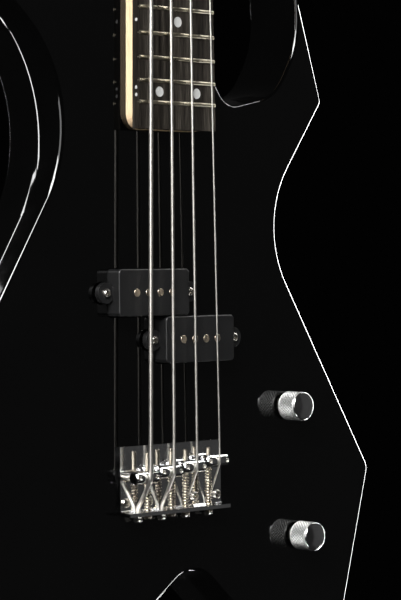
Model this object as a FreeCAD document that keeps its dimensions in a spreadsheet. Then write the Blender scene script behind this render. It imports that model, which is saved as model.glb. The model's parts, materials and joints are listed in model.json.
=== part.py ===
"""Electric bass guitar, 34-inch scale: every piece a solid bound to one sheet of sizes.

Frame: x runs from the bass side to the treble side, y from front to back, z along the neck.
The origin lies on the centre line at the nut, level with the front face of the body.
Heights in this file are measured outward from that face, so height h lies at y = -h.
"""
import FreeCAD, Part
import math
import os
import Sketcher
from FreeCAD import Placement, Rotation, Vector

SIZES = (
    ("scale_length", 863.6),
    ("body_width", 380.0),
    ("body_length", 580.0),
    ("body_thickness", 40.0),
    ("bevel_depth", 14.0),
    ("bevel_width", 7.0),
    ("edge_rounding", 10.0),
    ("running_gap", 0.05),
    ("fit_gap", 0.25),
    ("nut_width", 41.8),
    ("heel_width", 62.2),
    ("neck_top", 5.4),
    ("heel_depth", 16.0),
    ("heel_length", 112.0),
    ("heel_rounding", 9.5),
    ("heel_blend", 45.0),
    ("shaft_depth_heel", 18.0),
    ("shaft_depth_nut", 15.2),
    ("head_blend", 45.0),
    ("head_blend_depth", 20.2),
    ("head_face_drop", 1.8),
    ("head_thickness", 13.0),
    ("head_width", 84.0),
    ("head_length", 172.0),
    ("head_rounding", 10.0),
    ("head_ramp", 22.0),
    ("board_end_space", 200.2),
    ("board_thickness", 6.9),
    ("board_radius", 400.0),
    ("fret_width", 2.4),
    ("fret_height", 1.0),
    ("tang_width", 0.6),
    ("tang_depth", 1.6),
    ("fret_inset", 0.25),
    ("dot_diameter", 6.2),
    ("dot_thickness", 1.6),
    ("double_dot_space", 30.0),
    ("side_dot_diameter", 2.1),
    ("side_dot_depth", 2.0),
    ("side_dot_drop", 2.4),
    ("side_dot_pair", 8.6),
    ("nut_thickness", 4.6),
    ("nut_rise", 0.7),
    ("nut_underside", 13.5),
    ("saddle_underside", 14.3),
    ("bridge_spacing", 19.0),
    ("nut_spacing", 10.17),
    ("string_gauge_e", 2.6),
    ("string_gauge_a", 2.1),
    ("string_gauge_d", 1.65),
    ("string_gauge_g", 1.15),
    ("saddle_back_e", 5.9),
    ("saddle_back_a", 3.6),
    ("saddle_back_d", 1.9),
    ("saddle_back_g", -0.5),
    ("plate_width", 81.5),
    ("plate_front", 12.35),
    ("plate_rear", 28.83),
    ("plate_thickness", 2.4),
    ("lip_thickness", 2.2),
    ("lip_height", 11.0),
    ("lip_bend", 2.0),
    ("plate_screw_row", 21.0),
    ("plate_screw_span", 74.0),
    ("plate_screw_diameter", 3.2),
    ("plate_screw_head", 6.0),
    ("plate_screw_head_height", 1.7),
    ("plate_screw_depth", 20.0),
    ("saddle_diameter", 8.0),
    ("saddle_width", 18.0),
    ("saddle_rounding", 0.7),
    ("height_screw_diameter", 2.8),
    ("height_screw_span", 13.6),
    ("height_screw_top", 13.2),
    ("adjuster_diameter", 2.8),
    ("adjuster_height", 8.3),
    ("adjuster_offset", 3.7),
    ("adjuster_tip", 8.8),
    ("adjuster_head", 5.0),
    ("adjuster_head_length", 2.2),
    ("spring_wire", 0.6),
    ("spring_radius", 1.9),
    ("spring_pitch", 1.6),
    ("lip_string_height", 4.0),
    ("ball_diameter", 4.6),
    ("ball_width", 3.2),
    ("cover_length", 56.0),
    ("cover_breadth", 28.0),
    ("cover_top", 10.4),
    ("cover_depth", 8.0),
    ("cover_wall", 1.3),
    ("cover_rounding", 2.6),
    ("cover_edge", 0.9),
    ("ear_span", 66.0),
    ("ear_radius", 6.2),
    ("ear_top", 4.6),
    ("ear_thickness", 3.2),
    ("pickup_bass_x", 18.93),
    ("pickup_bass_row", 103.3),
    ("pickup_treble_x", 17.9),
    ("pickup_treble_row", 74.8),
    ("pole_spacing", 9.3),
    ("pole_diameter", 4.8),
    ("pole_proud", 0.25),
    ("coil_length", 49.0),
    ("coil_breadth", 17.0),
    ("coil_height", 12.0),
    ("pickup_cavity", 22.0),
    ("pickup_screw_diameter", 2.8),
    ("pickup_screw_head", 5.6),
    ("pickup_screw_head_height", 2.0),
    ("pickup_screw_depth", 30.0),
    ("knob_diameter", 18.0),
    ("knob_base", 2.0),
    ("knob_rim", 16.3),
    ("knob_top", 18.3),
    ("knob_wall", 1.9),
    ("knob_chamfer", 0.7),
    ("knob_recess", 7.0),
    ("shaft_diameter", 6.0),
    ("shaft_end", 14.6),
    ("bushing_diameter", 9.2),
    ("bushing_top", 5.2),
    ("washer_diameter", 13.6),
    ("washer_thickness", 0.6),
    ("pot_nut_width", 12.0),
    ("pot_nut_thickness", 2.2),
    ("top_wall", 7.0),
    ("pot_diameter", 24.0),
    ("pot_depth", 11.0),
    ("cavity_rounding", 12.0),
    ("cavity_side", 23.8),
    ("cavity_end", 23.7),
    ("cavity_foot", 29.5),
    ("jack_wall", 20.0),
    ("jack_room", 22.0),
    ("cover_ledge", 7.0),
    ("cover_plate", 2.4),
    ("cover_screw_diameter", 2.6),
    ("cover_screw_head", 5.2),
    ("cover_screw_depth", 11.0),
    ("jack_diameter", 12.0),
    ("jack_length", 38.0),
    ("jack_bore", 6.5),
    ("jack_bore_depth", 32.0),
    ("jack_flange", 19.0),
    ("jack_flange_thickness", 2.6),
    ("jack_nut_thickness", 3.0),
    ("neck_plate_width", 50.0),
    ("neck_plate_length", 50.0),
    ("neck_plate_thickness", 2.0),
    ("neck_plate_rounding", 6.0),
    ("neck_plate_row", 231.0),
    ("neck_screw_span", 37.0),
    ("neck_screw_diameter", 4.6),
    ("neck_screw_head", 8.6),
    ("neck_screw_head_height", 2.2),
    ("neck_screw_length", 42.0),
    ("button_base", 13.0),
    ("button_waist", 7.4),
    ("button_top", 15.0),
    ("button_height", 13.0),
    ("button_screw_diameter", 4.0),
    ("button_screw_length", 30.0),
    ("tuner_low_x", 25.0),
    ("tuner_low_row", 50.0),
    ("tuner_high_x", 22.5),
    ("tuner_high_row", 102.0),
    ("post_diameter", 10.0),
    ("post_waist", 8.0),
    ("post_top", 14.2),
    ("post_flange", 2.4),
    ("post_waist_base", 2.2),
    ("post_slot", 2.9),
    ("post_slot_depth", 6.5),
    ("tuner_bushing", 14.0),
    ("tuner_flange", 17.6),
    ("tuner_flange_thickness", 1.8),
    ("housing_length", 30.0),
    ("housing_breadth", 27.0),
    ("housing_thickness", 11.0),
    ("housing_rounding", 4.0),
    ("housing_offset", 4.0),
    ("housing_inner", 11.0),
    ("housing_floor", 3.0),
    ("key_shaft", 6.0),
    ("key_offset", 9.0),
    ("key_reach", 12.0),
    ("key_gap", 27.0),
    ("key_length", 20.0),
    ("key_breadth", 24.0),
    ("key_thickness", 6.4),
    ("key_rounding", 7.0),
    ("wrap_gap", 0.5),
    ("wrap_start", 9.0),
    ("wrap_lead", 9.0),
    ("lead_bend", 30.0),
    ("nut_bend", 4.0),
    ("lip_bend_string", 6.0),
    ("wrap_clearance", 0.15),
    ("truss_width", 6.0),
    ("truss_height", 10.6),
    ("truss_level", 4.9),
    ("truss_rod_diameter", 5.0),
    ("truss_end_space", 40.0),
    ("truss_nut_diameter", 6.0),
    ("truss_nut_length", 14.0),
    ("truss_nut_row", 30.0),
    ("truss_slot_width", 10.0),
    ("truss_slot_length", 28.0),
    ("truss_cover_length", 44.0),
    ("truss_cover_width", 20.0),
    ("truss_cover_thickness", 2.0),
    ("wire_diameter", 1.8),
    ("wire_channel", 7.0),
    ("wire_level", 15.0),
    ("ground_drop", 10.0),
    ("capacitor_diameter", 9.0),
    ("capacitor_thickness", 3.0),
)

# Front outline: x share of body_width, z share of body_length from the saddle line, rounding of
# the front edge and of the side wall in shares of edge_rounding, and the bevel of the edge that
# follows in shares of bevel_width.
BODY_SHARES = (
    (0.2971, 0.5050, 0.06, 0.20, 0.71),
    (0.3547, 0.3845, 0.40, 0.90, 0.86),
    (0.2084, 0.2493, 6.60, 6.00, 0.86),
    (0.4624, -0.0228, 0.80, 1.30, 0.71),
    (0.3534, -0.2893, 0.30, 0.80, 0.71),
    (0.0542, -0.1026, 2.20, 1.70, 0.71),
    (-0.3850, -0.3103, 0.30, 0.80, 0.43),
    (-0.5040, -0.0086, 1.00, 1.20, 0.28),
    (-0.1497, 0.3736, 8.20, 9.00, 0.86),
    (-0.3895, 0.5155, 0.50, 1.00, 0.71),
    (-0.3200, 0.6640, 0.10, 0.50, 1.10),
    (-0.1840, 0.5310, 4.00, 3.40, 0.86),
    (-0.0816, 0.5620, 0.30, 0.60, 0.43),
    (0.1382, 0.3716, 1.60, 1.40, 0.30),
    (0.2447, 0.3870, 3.40, 3.20, 0.30),
    (0.3030, 0.4480, 6.00, 5.80, 0.30),
)
# Knob axes, as shares of body_width and of body_length from the saddle line.
KNOB_SHARES = (
    ("volume", 0.26263, 0.05207),
    ("tone", 0.28711, -0.09017),
)
# Headstock: half-width share of head_width, z share of head_length, rounding share.
HEAD_SHARES = (
    (0.2488, -0.0400, 0.0),
    (0.2488, 0.0300, 2.0),
    (0.5000, 0.1900, 0.7),
    (0.4050, 0.8000, 0.6),
    (0.0900, 1.0000, 0.5),
)
FRET_COUNT = 24
SINGLE_DOTS = (3, 5, 7, 9, 15, 17, 19, 21)
DOUBLE_DOTS = (12, 24)
STRING_NAMES = ("e", "a", "d", "g")
STRING_SHARES = (-1.5, -0.5, 0.5, 1.5)
WRAP_TURNS = 1.75

doc = FreeCAD.newDocument("bass_guitar")
sheet = doc.addObject("Spreadsheet::Sheet", "Dims")


class Length:
    """A size that carries its value and the expression which binds it to the sheet."""

    def __init__(self, value: float, text: str) -> None:
        self.value = value
        self.text = text

    def __float__(self) -> float:
        return self.value

    def __add__(self, other: "Length") -> "Length":
        return Length(self.value + other.value, f"({self.text} + {other.text})")

    def __sub__(self, other: "Length") -> "Length":
        return Length(self.value - other.value, f"({self.text} - {other.text})")

    def __mul__(self, factor: float) -> "Length":
        return Length(self.value * factor, f"({self.text} * {factor:.9g})")

    __rmul__ = __mul__

    def __truediv__(self, factor: float) -> "Length":
        return self * (1.0 / factor)

    def __neg__(self) -> "Length":
        return self * -1.0


class Sizes:
    """The sheet's cells by their aliases."""

    def __init__(self, table: tuple) -> None:
        for row, (alias, value) in enumerate(table, start=1):
            sheet.set(f"A{row}", alias)
            sheet.set(f"B{row}", str(value))
            sheet.setAlias(f"B{row}", alias)
        doc.recompute()

    def __getattr__(self, alias: str) -> Length:
        return Length(float(sheet.get(alias)), f"Dims.{alias}")


D = Sizes(SIZES)
ZERO = Length(0.0, "0")


def new_body(label: str):
    """Add an empty body under its label."""
    body = doc.addObject("PartDesign::Body", label)
    body.Label = label
    return body


def sketch_on(body, plane: str, lift: Length = ZERO):
    """Add a sketch on one of the body's own origin planes, lifted along the plane's normal."""
    sketch = body.newObject("Sketcher::SketchObject", f"{body.Name}_sketch")
    support = next(item for item in body.Origin.OriginFeatures if item.Role == f"{plane}_Plane")
    sketch.AttachmentSupport = [(support, "")]
    sketch.MapMode = "FlatFace"
    if lift is not ZERO:
        sketch.setExpression("AttachmentOffset.Base.z", lift.text)
    return sketch


def bind_constraint(sketch, kind: str, first: tuple, size: Length) -> None:
    """Add a constraint whose value follows a size."""
    index = sketch.addConstraint(Sketcher.Constraint(kind, *first, float(size)))
    sketch.setExpression(f"Constraints[{index}]", size.text)


def fix_point(sketch, geometry: int, vertex: int, x: Length, y: Length) -> None:
    """Hold one point of a sketch at two sizes."""
    if x is ZERO:
        sketch.addConstraint(Sketcher.Constraint("PointOnObject", geometry, vertex, -2))
    else:
        bind_constraint(sketch, "DistanceX", (-1, 1, geometry, vertex), x)
    if y is ZERO:
        sketch.addConstraint(Sketcher.Constraint("PointOnObject", geometry, vertex, -1))
    else:
        bind_constraint(sketch, "DistanceY", (-1, 1, geometry, vertex), y)


def polygon(sketch, points: list) -> None:
    """Draw a closed polygon whose corners follow sizes."""
    first = sketch.GeometryCount
    count = len(points)
    corners = [Vector(float(x), float(y), 0) for x, y in points]
    for index in range(count):
        sketch.addGeometry(Part.LineSegment(corners[index], corners[(index + 1) % count]), False)
    for index, (x, y) in enumerate(points):
        before = first + (index - 1) % count
        sketch.addConstraint(Sketcher.Constraint("Coincident", first + index, 1, before, 2))
        fix_point(sketch, first + index, 1, x, y)


def rectangle(sketch, x_low: Length, x_high: Length, y_low: Length, y_high: Length) -> None:
    """Draw an upright rectangle between four sizes."""
    polygon(sketch, [(x_low, y_low), (x_high, y_low), (x_high, y_high), (x_low, y_high)])


def circle(sketch, x: Length, y: Length, radius: Length) -> None:
    """Draw a circle whose centre and radius follow sizes."""
    centre = Vector(float(x), float(y), 0)
    index = sketch.addGeometry(Part.Circle(centre, Vector(0, 0, 1), float(radius)), False)
    bind_constraint(sketch, "Radius", (index,), radius)
    fix_point(sketch, index, 3, x, y)


def rounded(sketch, corners: list) -> None:
    """Draw a closed outline from corners (x, y, radius) with tangent arcs at rounded corners."""
    count = len(corners)
    points = [Vector(x, y, 0) for x, y, _ in corners]
    starts = []
    ends = []
    arcs = []
    for index, (_, _, radius) in enumerate(corners):
        here = points[index]
        back = (points[index - 1] - here).normalize()
        ahead = (points[(index + 1) % count] - here).normalize()
        if radius <= 0:
            starts.append(here)
            ends.append(here)
            arcs.append(None)
            continue
        half = back.getAngle(ahead) / 2
        reach = radius / math.tan(half)
        bisector = (back + ahead).normalize()
        middle = here + bisector * (radius / math.sin(half) - radius)
        starts.append(here + back * reach)
        ends.append(here + ahead * reach)
        arcs.append(middle)
    for index in range(count):
        following = (index + 1) % count
        if arcs[index] is not None:
            arc = Part.Arc(starts[index], arcs[index], ends[index])
            sketch.addGeometry(arc, False)
        sketch.addGeometry(Part.LineSegment(ends[index], starts[following]), False)


def offset_corners(corners: list, widths: list) -> list:
    """Move each edge of a clockwise outline outward by its own width and meet them again."""
    count = len(corners)
    moved = []
    for index in range(count):
        start = Vector(corners[index][0], corners[index][1], 0)
        end = Vector(corners[(index + 1) % count][0], corners[(index + 1) % count][1], 0)
        along = (end - start).normalize()
        outward = Vector(-along.y, along.x, 0)
        moved.append((start + outward * widths[index], along))
    met = []
    for index in range(count):
        origin, along = moved[index - 1]
        other, heading = moved[index]
        gap = other - origin
        reach = (gap.x * heading.y - gap.y * heading.x) / (along.x * heading.y - along.y * heading.x)
        met.append(origin + along * reach)
    return met


def pad(body, sketch, length: Length, taper: float = 0.0):
    """Extrude a sketch along its normal."""
    feature = body.newObject("PartDesign::Pad", f"{body.Name}_pad")
    feature.Profile = sketch
    feature.setExpression("Length", length.text)
    feature.TaperAngle = taper
    return feature


def pocket(body, sketch, length: Length, forward: bool = False):
    """Cut a sketch against its normal, or along it."""
    feature = body.newObject("PartDesign::Pocket", f"{body.Name}_pocket")
    feature.Profile = sketch
    feature.setExpression("Length", length.text)
    feature.Reversed = forward
    return feature


def revolve(body, sketch, axis: str = "V_Axis"):
    """Turn a sketch fully around one of its axes."""
    feature = body.newObject("PartDesign::Revolution", f"{body.Name}_turn")
    feature.Profile = sketch
    feature.ReferenceAxis = (sketch, [axis])
    feature.Angle = 360
    return feature


def loft(body, first, second):
    """Join two sketches of equal edge count with straight rulings."""
    feature = body.newObject("PartDesign::AdditiveLoft", f"{body.Name}_loft")
    feature.Profile = first
    feature.Sections = [second]
    feature.Ruled = True
    return feature


def cut_cylinder(body, radius: Length, length: Length, start: Vector, heading: Vector):
    """Drill a slanting hole from a start point along a heading."""
    feature = body.newObject("PartDesign::SubtractiveCylinder", f"{body.Name}_bore")
    feature.setExpression("Radius", radius.text)
    feature.setExpression("Height", length.text)
    feature.Placement = Placement(start, Rotation(Vector(0, 0, 1), heading))
    return feature


def turned(label: str, profile: list, plane: str = "XY", axis: str = "V_Axis"):
    """Make a turned piece from half its section."""
    body = new_body(label)
    sketch = sketch_on(body, plane)
    polygon(sketch, profile)
    revolve(body, sketch, axis)
    return body


def place(item, x: Length, height: Length, z: Length, turn: Rotation = None) -> None:
    """Put a piece at three sizes, turned if asked."""
    if turn is not None:
        item.Placement = Placement(Vector(0, 0, 0), turn)
    item.setExpression("Placement.Base.x", x.text)
    item.setExpression("Placement.Base.y", (-height).text)
    item.setExpression("Placement.Base.z", z.text)


def group(label: str, members: list):
    """Hold several separate pieces in one node."""
    compound = doc.addObject("Part::Compound", label)
    compound.Label = label
    compound.Links = members
    return compound


def keep(label: str, shape):
    """Hold a shape made from the sizes above under its label."""
    feature = doc.addObject("Part::Feature", label)
    feature.Label = label
    feature.Shape = shape
    return feature


def point(x: float, height: float, z: float) -> Vector:
    """Point of the frame at a height above the body's face."""
    return Vector(x, -height, z)


SADDLE_LINE = -D.scale_length
BOARD_END = SADDLE_LINE + D.board_end_space
BOARD_TOP = D.neck_top + D.board_thickness
HEEL_TAPER = (D.heel_width.value - D.nut_width.value) / -BOARD_END.value / 2
PIECES = []


def half_board(z: float) -> float:
    """Half the width of the neck at a distance down from the nut."""
    return D.nut_width.value / 2 - z * HEEL_TAPER


def fret_z(number: int) -> Length:
    """Place of a fret by the twelfth-root rule."""
    return D.scale_length * (2 ** (-number / 12) - 1)


# Body
front_corners = []
wall_rounding = []
bevels = []
for x_share, z_share, front_share, wall_share, bevel_share in BODY_SHARES:
    front_corners.append((
        x_share * D.body_width.value,
        SADDLE_LINE.value + z_share * D.body_length.value,
        front_share * D.edge_rounding.value,
    ))
    wall_rounding.append(wall_share * D.edge_rounding.value)
    bevels.append(bevel_share * D.bevel_width.value)
wall_points = offset_corners(front_corners, bevels)
wall_corners = [(spot.x, spot.y, radius) for spot, radius in zip(wall_points, wall_rounding)]

body = new_body("body")
front_sketch = sketch_on(body, "XZ")
rounded(front_sketch, front_corners)
wall_sketch = sketch_on(body, "XZ", -D.bevel_depth)
rounded(wall_sketch, wall_corners)
loft(body, front_sketch, wall_sketch)
back_sketch = sketch_on(body, "XZ", -D.body_thickness)
rounded(back_sketch, wall_corners)
pad(body, back_sketch, D.body_thickness - D.bevel_depth)


def wall_spot(edge: int, share: float) -> tuple:
    """Point on a side wall at mid-wall height, with the wall's outward heading."""
    start = wall_points[edge]
    end = wall_points[(edge + 1) % len(wall_points)]
    along = (end - start).normalize()
    spot = wall_points[edge] + (end - wall_points[edge]) * share
    level = (D.bevel_depth.value + D.body_thickness.value) / 2
    return Vector(spot.x, level, spot.y), Vector(-along.y, 0, along.x)


def neck_outline(gap: float, top: float) -> list:
    """Heel outline seen from the front, opened by a gap, up to a given z."""
    end = BOARD_END.value - gap
    low = half_board(BOARD_END.value) + gap
    high = half_board(top) + gap
    radius = D.heel_rounding.value
    return [(-low, end, radius), (low, end, radius), (high, top, 0), (-high, top, 0)]


def board_rectangle(x: Length, z: Length, length: Length, breadth: Length, radius: Length) -> list:
    """Rounded rectangle around a centre, as outline corners."""
    half_x = length.value / 2
    half_z = breadth.value / 2
    corners = []
    for sign_x, sign_z in ((-1, -1), (1, -1), (1, 1), (-1, 1)):
        corners.append((x.value + sign_x * half_x, z.value + sign_z * half_z, radius.value))
    return corners


PICKUPS = (
    ("bass", -D.pickup_bass_x, SADDLE_LINE + D.pickup_bass_row),
    ("treble", D.pickup_treble_x, SADDLE_LINE + D.pickup_treble_row),
)
KNOBS = [
    (name, x_share * D.body_width, SADDLE_LINE + z_share * D.body_length) for name, x_share, z_share in KNOB_SHARES
]
JACK_SPOT, JACK_OUT = wall_spot(3, 0.33)
JACK_DOWN = Vector(JACK_OUT.z, 0, -JACK_OUT.x)
jack_corner = JACK_SPOT - JACK_OUT * D.jack_wall.value + JACK_DOWN * D.jack_room.value
(_, volume_x, volume_z), (_, tone_x, tone_z) = KNOBS
CAVITY = [
    ((volume_x - D.cavity_side).value, (volume_z + D.cavity_end).value),
    ((volume_x + D.cavity_side).value, (volume_z + D.cavity_end).value),
    (jack_corner.x, jack_corner.z),
    ((tone_x - D.cavity_side).value, (tone_z - D.cavity_foot).value),
]
HEEL_TOP = BOARD_END + D.heel_length
PLATE_ROW = SADDLE_LINE + D.neck_plate_row
NECK_SCREWS = [
    (sign_x * D.neck_screw_span / 2, PLATE_ROW + sign_z * D.neck_screw_span / 2)
    for sign_x in (-1, 1)
    for sign_z in (-1, 1)
]
PLATE_SCREWS = [
    (share * D.plate_screw_span, SADDLE_LINE - D.plate_screw_row) for share in (-0.5, -0.25, 0.0, 0.25, 0.5)
]
BUTTON_SPOTS = (wall_spot(9, 0.6), wall_spot(5, 0.72))
COVER_SCREWS = []
cavity_middle = (sum(x for x, _ in CAVITY) / 4, sum(z for _, z in CAVITY) / 4)
for spot_x, spot_z in CAVITY:
    lean = Vector(spot_x - cavity_middle[0], spot_z - cavity_middle[1], 0).normalize()
    COVER_SCREWS.append((
        D.body_width * (spot_x / D.body_width.value) - D.cover_ledge * (0.12 * lean.x),
        SADDLE_LINE + D.body_length * ((spot_z - SADDLE_LINE.value) / D.body_length.value) - D.cover_ledge
        * (0.12 * lean.y),
    ))
CAVITY_CORNERS = [(x, z, D.cavity_rounding.value) for x, z in CAVITY]
RECESS = [
    (spot.x, spot.y, D.cavity_rounding.value + D.cover_ledge.value / 2)
    for spot in offset_corners(CAVITY, [D.cover_ledge.value] * 4)
]
LID = [
    (spot.x, spot.y, D.cavity_rounding.value + D.cover_ledge.value / 2 - D.fit_gap.value)
    for spot in offset_corners(CAVITY, [D.cover_ledge.value - D.fit_gap.value] * 4)
]

sketch = sketch_on(body, "XZ")
rounded(sketch, neck_outline(D.fit_gap.value, HEEL_TOP.value + D.heel_length.value))
pocket(body, sketch, D.heel_depth)
for _, x, z in PICKUPS:
    sketch = sketch_on(body, "XZ")
    gap = D.fit_gap * 2
    rounded(sketch, board_rectangle(x, z, D.cover_length + gap, D.cover_breadth + gap, D.cover_rounding))
    pocket(body, sketch, D.pickup_cavity)
    sketch = sketch_on(body, "XZ")
    for sign in (-1, 1):
        circle(sketch, x + sign * D.ear_span / 2, z, D.ear_radius + D.fit_gap)
    pocket(body, sketch, D.pickup_cavity)
    sketch = sketch_on(body, "XZ")
    for sign in (-1, 1):
        circle(sketch, x + sign * D.ear_span / 2, z, D.pickup_screw_diameter / 2 + D.running_gap)
    pocket(body, sketch, D.pickup_screw_depth + D.ear_top)
sketch = sketch_on(body, "XZ", -D.body_thickness)
rounded(sketch, CAVITY_CORNERS)
pocket(body, sketch, D.body_thickness - D.top_wall, forward=True)
sketch = sketch_on(body, "XZ", -D.body_thickness)
rounded(sketch, RECESS)
pocket(body, sketch, D.cover_plate + D.running_gap, forward=True)
sketch = sketch_on(body, "XZ", -D.body_thickness)
for x, z in COVER_SCREWS:
    circle(sketch, x, z, D.cover_screw_diameter / 2 + D.running_gap)
pocket(body, sketch, D.cover_screw_depth + D.cover_plate, forward=True)
sketch = sketch_on(body, "XZ")
for _, x, z in KNOBS:
    circle(sketch, x, z, D.bushing_diameter / 2 + D.fit_gap)
pocket(body, sketch, D.top_wall * 1.5)
sketch = sketch_on(body, "XZ", -D.body_thickness)
for x, z in NECK_SCREWS:
    circle(sketch, x, z, D.neck_screw_diameter / 2 + D.fit_gap)
pocket(body, sketch, D.body_thickness, forward=True)
sketch = sketch_on(body, "XZ")
for x, z in PLATE_SCREWS:
    circle(sketch, x, z, D.plate_screw_diameter / 2 + D.running_gap)
pocket(body, sketch, D.plate_screw_depth + D.plate_thickness)
cut_cylinder(
    body,
    D.jack_diameter / 2 + D.fit_gap,
    D.jack_length,
    JACK_SPOT + JACK_OUT * D.fit_gap.value,
    -JACK_OUT,
)
for spot, outward in BUTTON_SPOTS:
    cut_cylinder(body, D.button_screw_diameter / 2 + D.running_gap, D.button_screw_length, spot, -outward)
LEAD_X = PICKUPS[1][1] + D.coil_length / 2 + D.fit_gap * 4
CHANNEL_START = point(LEAD_X.value, -D.wire_level.value, PICKUPS[1][2].value)
CHANNEL_END = point(volume_x.value, -D.wire_level.value, volume_z.value)
CHANNEL_RUN = CHANNEL_END - CHANNEL_START
cut_cylinder(
    body,
    D.wire_channel / 2,
    D.cover_length * (CHANNEL_RUN.Length * 0.9 / D.cover_length.value),
    CHANNEL_START,
    CHANNEL_RUN,
)
GROUND_START = point(D.plate_width.value * 0.36, -D.wire_diameter.value / 2, (SADDLE_LINE - D.ground_drop).value)
GROUND_END = point((tone_x - D.cavity_side).value, -(D.top_wall + D.pot_depth).value, tone_z.value)
GROUND_RUN = GROUND_END - GROUND_START
cut_cylinder(
    body,
    D.wire_diameter / 2 + D.fit_gap,
    D.cover_length * (GROUND_RUN.Length * 1.1 / D.cover_length.value),
    GROUND_START - GROUND_RUN * 0.05,
    GROUND_RUN,
)
PIECES.append(body)

# Neck, with its heel and headstock in one piece
HEAD_FACE = -D.head_face_drop
HEAD_BACK = HEAD_FACE - D.head_thickness
TUNERS = (
    ("e", -1, -D.tuner_low_x, D.tuner_low_row),
    ("a", -1, -D.tuner_high_x, D.tuner_high_row),
    ("d", 1, D.tuner_high_x, D.tuner_high_row),
    ("g", 1, D.tuner_low_x, D.tuner_low_row),
)


def neck_section(body, z: Length, depth: Length):
    """Flat-topped section with a round back, across the neck at z."""
    sketch = sketch_on(body, "XY", z)
    half = half_board(min(z.value, 0.0))
    top = -D.neck_top.value
    left = Vector(-half, top, 0)
    right = Vector(half, top, 0)
    sketch.addGeometry(Part.LineSegment(left, right), False)
    sketch.addGeometry(Part.Arc(right, Vector(0, top + depth.value, 0), left), False)
    return sketch


neck = new_body("neck")
sketch = sketch_on(neck, "XZ", -D.heel_depth)
rounded(sketch, neck_outline(0.0, HEEL_TOP.value))
pad(neck, sketch, D.heel_depth + D.neck_top)
stations = (
    (HEEL_TOP - D.heel_blend / 9, D.heel_depth + D.neck_top - D.fit_gap),
    (HEEL_TOP + D.heel_blend, D.shaft_depth_heel),
    (-D.head_blend, D.shaft_depth_nut),
    (D.head_blend / 4.5, D.head_blend_depth),
)
for (z_low, depth_low), (z_high, depth_high) in zip(stations, stations[1:]):
    loft(neck, neck_section(neck, z_low, depth_low), neck_section(neck, z_high, depth_high))
sketch = sketch_on(neck, "XZ", HEAD_BACK)
right_side = []
for half_share, z_share, round_share in HEAD_SHARES:
    right_side.append((
        half_share * D.head_width.value,
        z_share * D.head_length.value,
        round_share * D.head_rounding.value,
    ))
left_side = [(-x, z, radius) for x, z, radius in reversed(right_side)]
rounded(sketch, right_side + left_side)
pad(neck, sketch, D.head_thickness + D.head_face_drop + D.neck_top)
sketch = sketch_on(neck, "YZ", D.head_width)
polygon(sketch, [
    (-D.neck_top, D.nut_thickness),
    (D.head_face_drop, D.nut_thickness + D.head_ramp),
    (D.head_face_drop, D.head_length * 1.1),
    (-D.neck_top * 1.5, D.head_length * 1.1),
    (-D.neck_top * 1.5, D.nut_thickness),
])
pocket(neck, sketch, D.head_width * 2)
TRUSS_END = BOARD_END + D.truss_end_space
TRUSS_FLOOR = -D.truss_level - D.truss_rod_diameter / 2
sketch = sketch_on(neck, "XZ", D.neck_top)
rectangle(sketch, -D.truss_width / 2, D.truss_width / 2, TRUSS_END, -D.nut_thickness)
pocket(neck, sketch, D.neck_top - TRUSS_FLOOR + D.fit_gap)
sketch = sketch_on(neck, "XY", -D.nut_thickness * 2)
circle(sketch, ZERO, D.truss_level, D.truss_rod_diameter / 2 + D.fit_gap)
pocket(neck, sketch, D.truss_nut_row + D.nut_thickness * 2, forward=True)
sketch = sketch_on(neck, "XZ", D.neck_top)
rectangle(
    sketch,
    -D.truss_slot_width / 2,
    D.truss_slot_width / 2,
    D.truss_nut_row - D.nut_thickness / 2,
    D.truss_nut_row + D.truss_slot_length,
)
pocket(neck, sketch, D.neck_top + D.truss_level + D.truss_nut_diameter / 2 + D.fit_gap * 2)
sketch = sketch_on(neck, "XZ", HEAD_FACE)
for _, _, x, z in TUNERS:
    circle(sketch, x, z, D.tuner_bushing / 2 + D.running_gap)
pocket(neck, sketch, D.head_thickness)
sketch = sketch_on(neck, "XZ", -D.heel_depth)
for x, z in NECK_SCREWS:
    circle(sketch, x, z, D.neck_screw_diameter / 2 + D.running_gap)
pocket(neck, sketch, D.neck_screw_length + D.fit_gap - D.body_thickness + D.heel_depth, forward=True)
TRUSS_COVER_FOOT = D.nut_thickness + D.head_ramp + D.fit_gap
TRUSS_COVER_SCREW = (ZERO, TRUSS_COVER_FOOT + D.truss_cover_length * 0.9)
sketch = sketch_on(neck, "XZ", HEAD_FACE)
circle(sketch, *TRUSS_COVER_SCREW, D.cover_screw_diameter / 2 + D.running_gap)
pocket(neck, sketch, D.cover_screw_depth)
PIECES.append(neck)

# Fretboard
board = new_body("fretboard_blank")
sections = []
for z in (ZERO, BOARD_END):
    sketch = sketch_on(board, "XY", z)
    half = half_board(z.value)
    radius = D.board_radius.value
    edge = BOARD_TOP.value - radius + math.sqrt(radius ** 2 - half ** 2)
    corners = [
        Vector(-half, -D.neck_top.value, 0),
        Vector(half, -D.neck_top.value, 0),
        Vector(half, -edge, 0),
        Vector(-half, -edge, 0),
    ]
    sketch.addGeometry(Part.LineSegment(corners[0], corners[1]), False)
    sketch.addGeometry(Part.LineSegment(corners[1], corners[2]), False)
    sketch.addGeometry(Part.Arc(corners[2], Vector(0, -BOARD_TOP.value, 0), corners[3]), False)
    sketch.addGeometry(Part.LineSegment(corners[3], corners[0]), False)
    sections.append(sketch)
loft(board, *sections)
EDGE_DROP = D.board_radius * (1 - math.sqrt(1 - (D.heel_width.value / 2 / D.board_radius.value) ** 2))
sketch = sketch_on(board, "YZ", D.heel_width)
for number in range(1, FRET_COUNT + 1):
    z = fret_z(number)
    half = D.tang_width / 2 + D.running_gap
    floor = BOARD_TOP - EDGE_DROP - D.tang_depth - D.running_gap
    rectangle(sketch, -BOARD_TOP - D.fret_height, -floor, z - half, z + half)
pocket(board, sketch, D.heel_width * 2)


def between_frets(number: int) -> Length:
    """Middle of the space below a fret's string length."""
    return (fret_z(number) + fret_z(number - 1)) / 2


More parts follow.
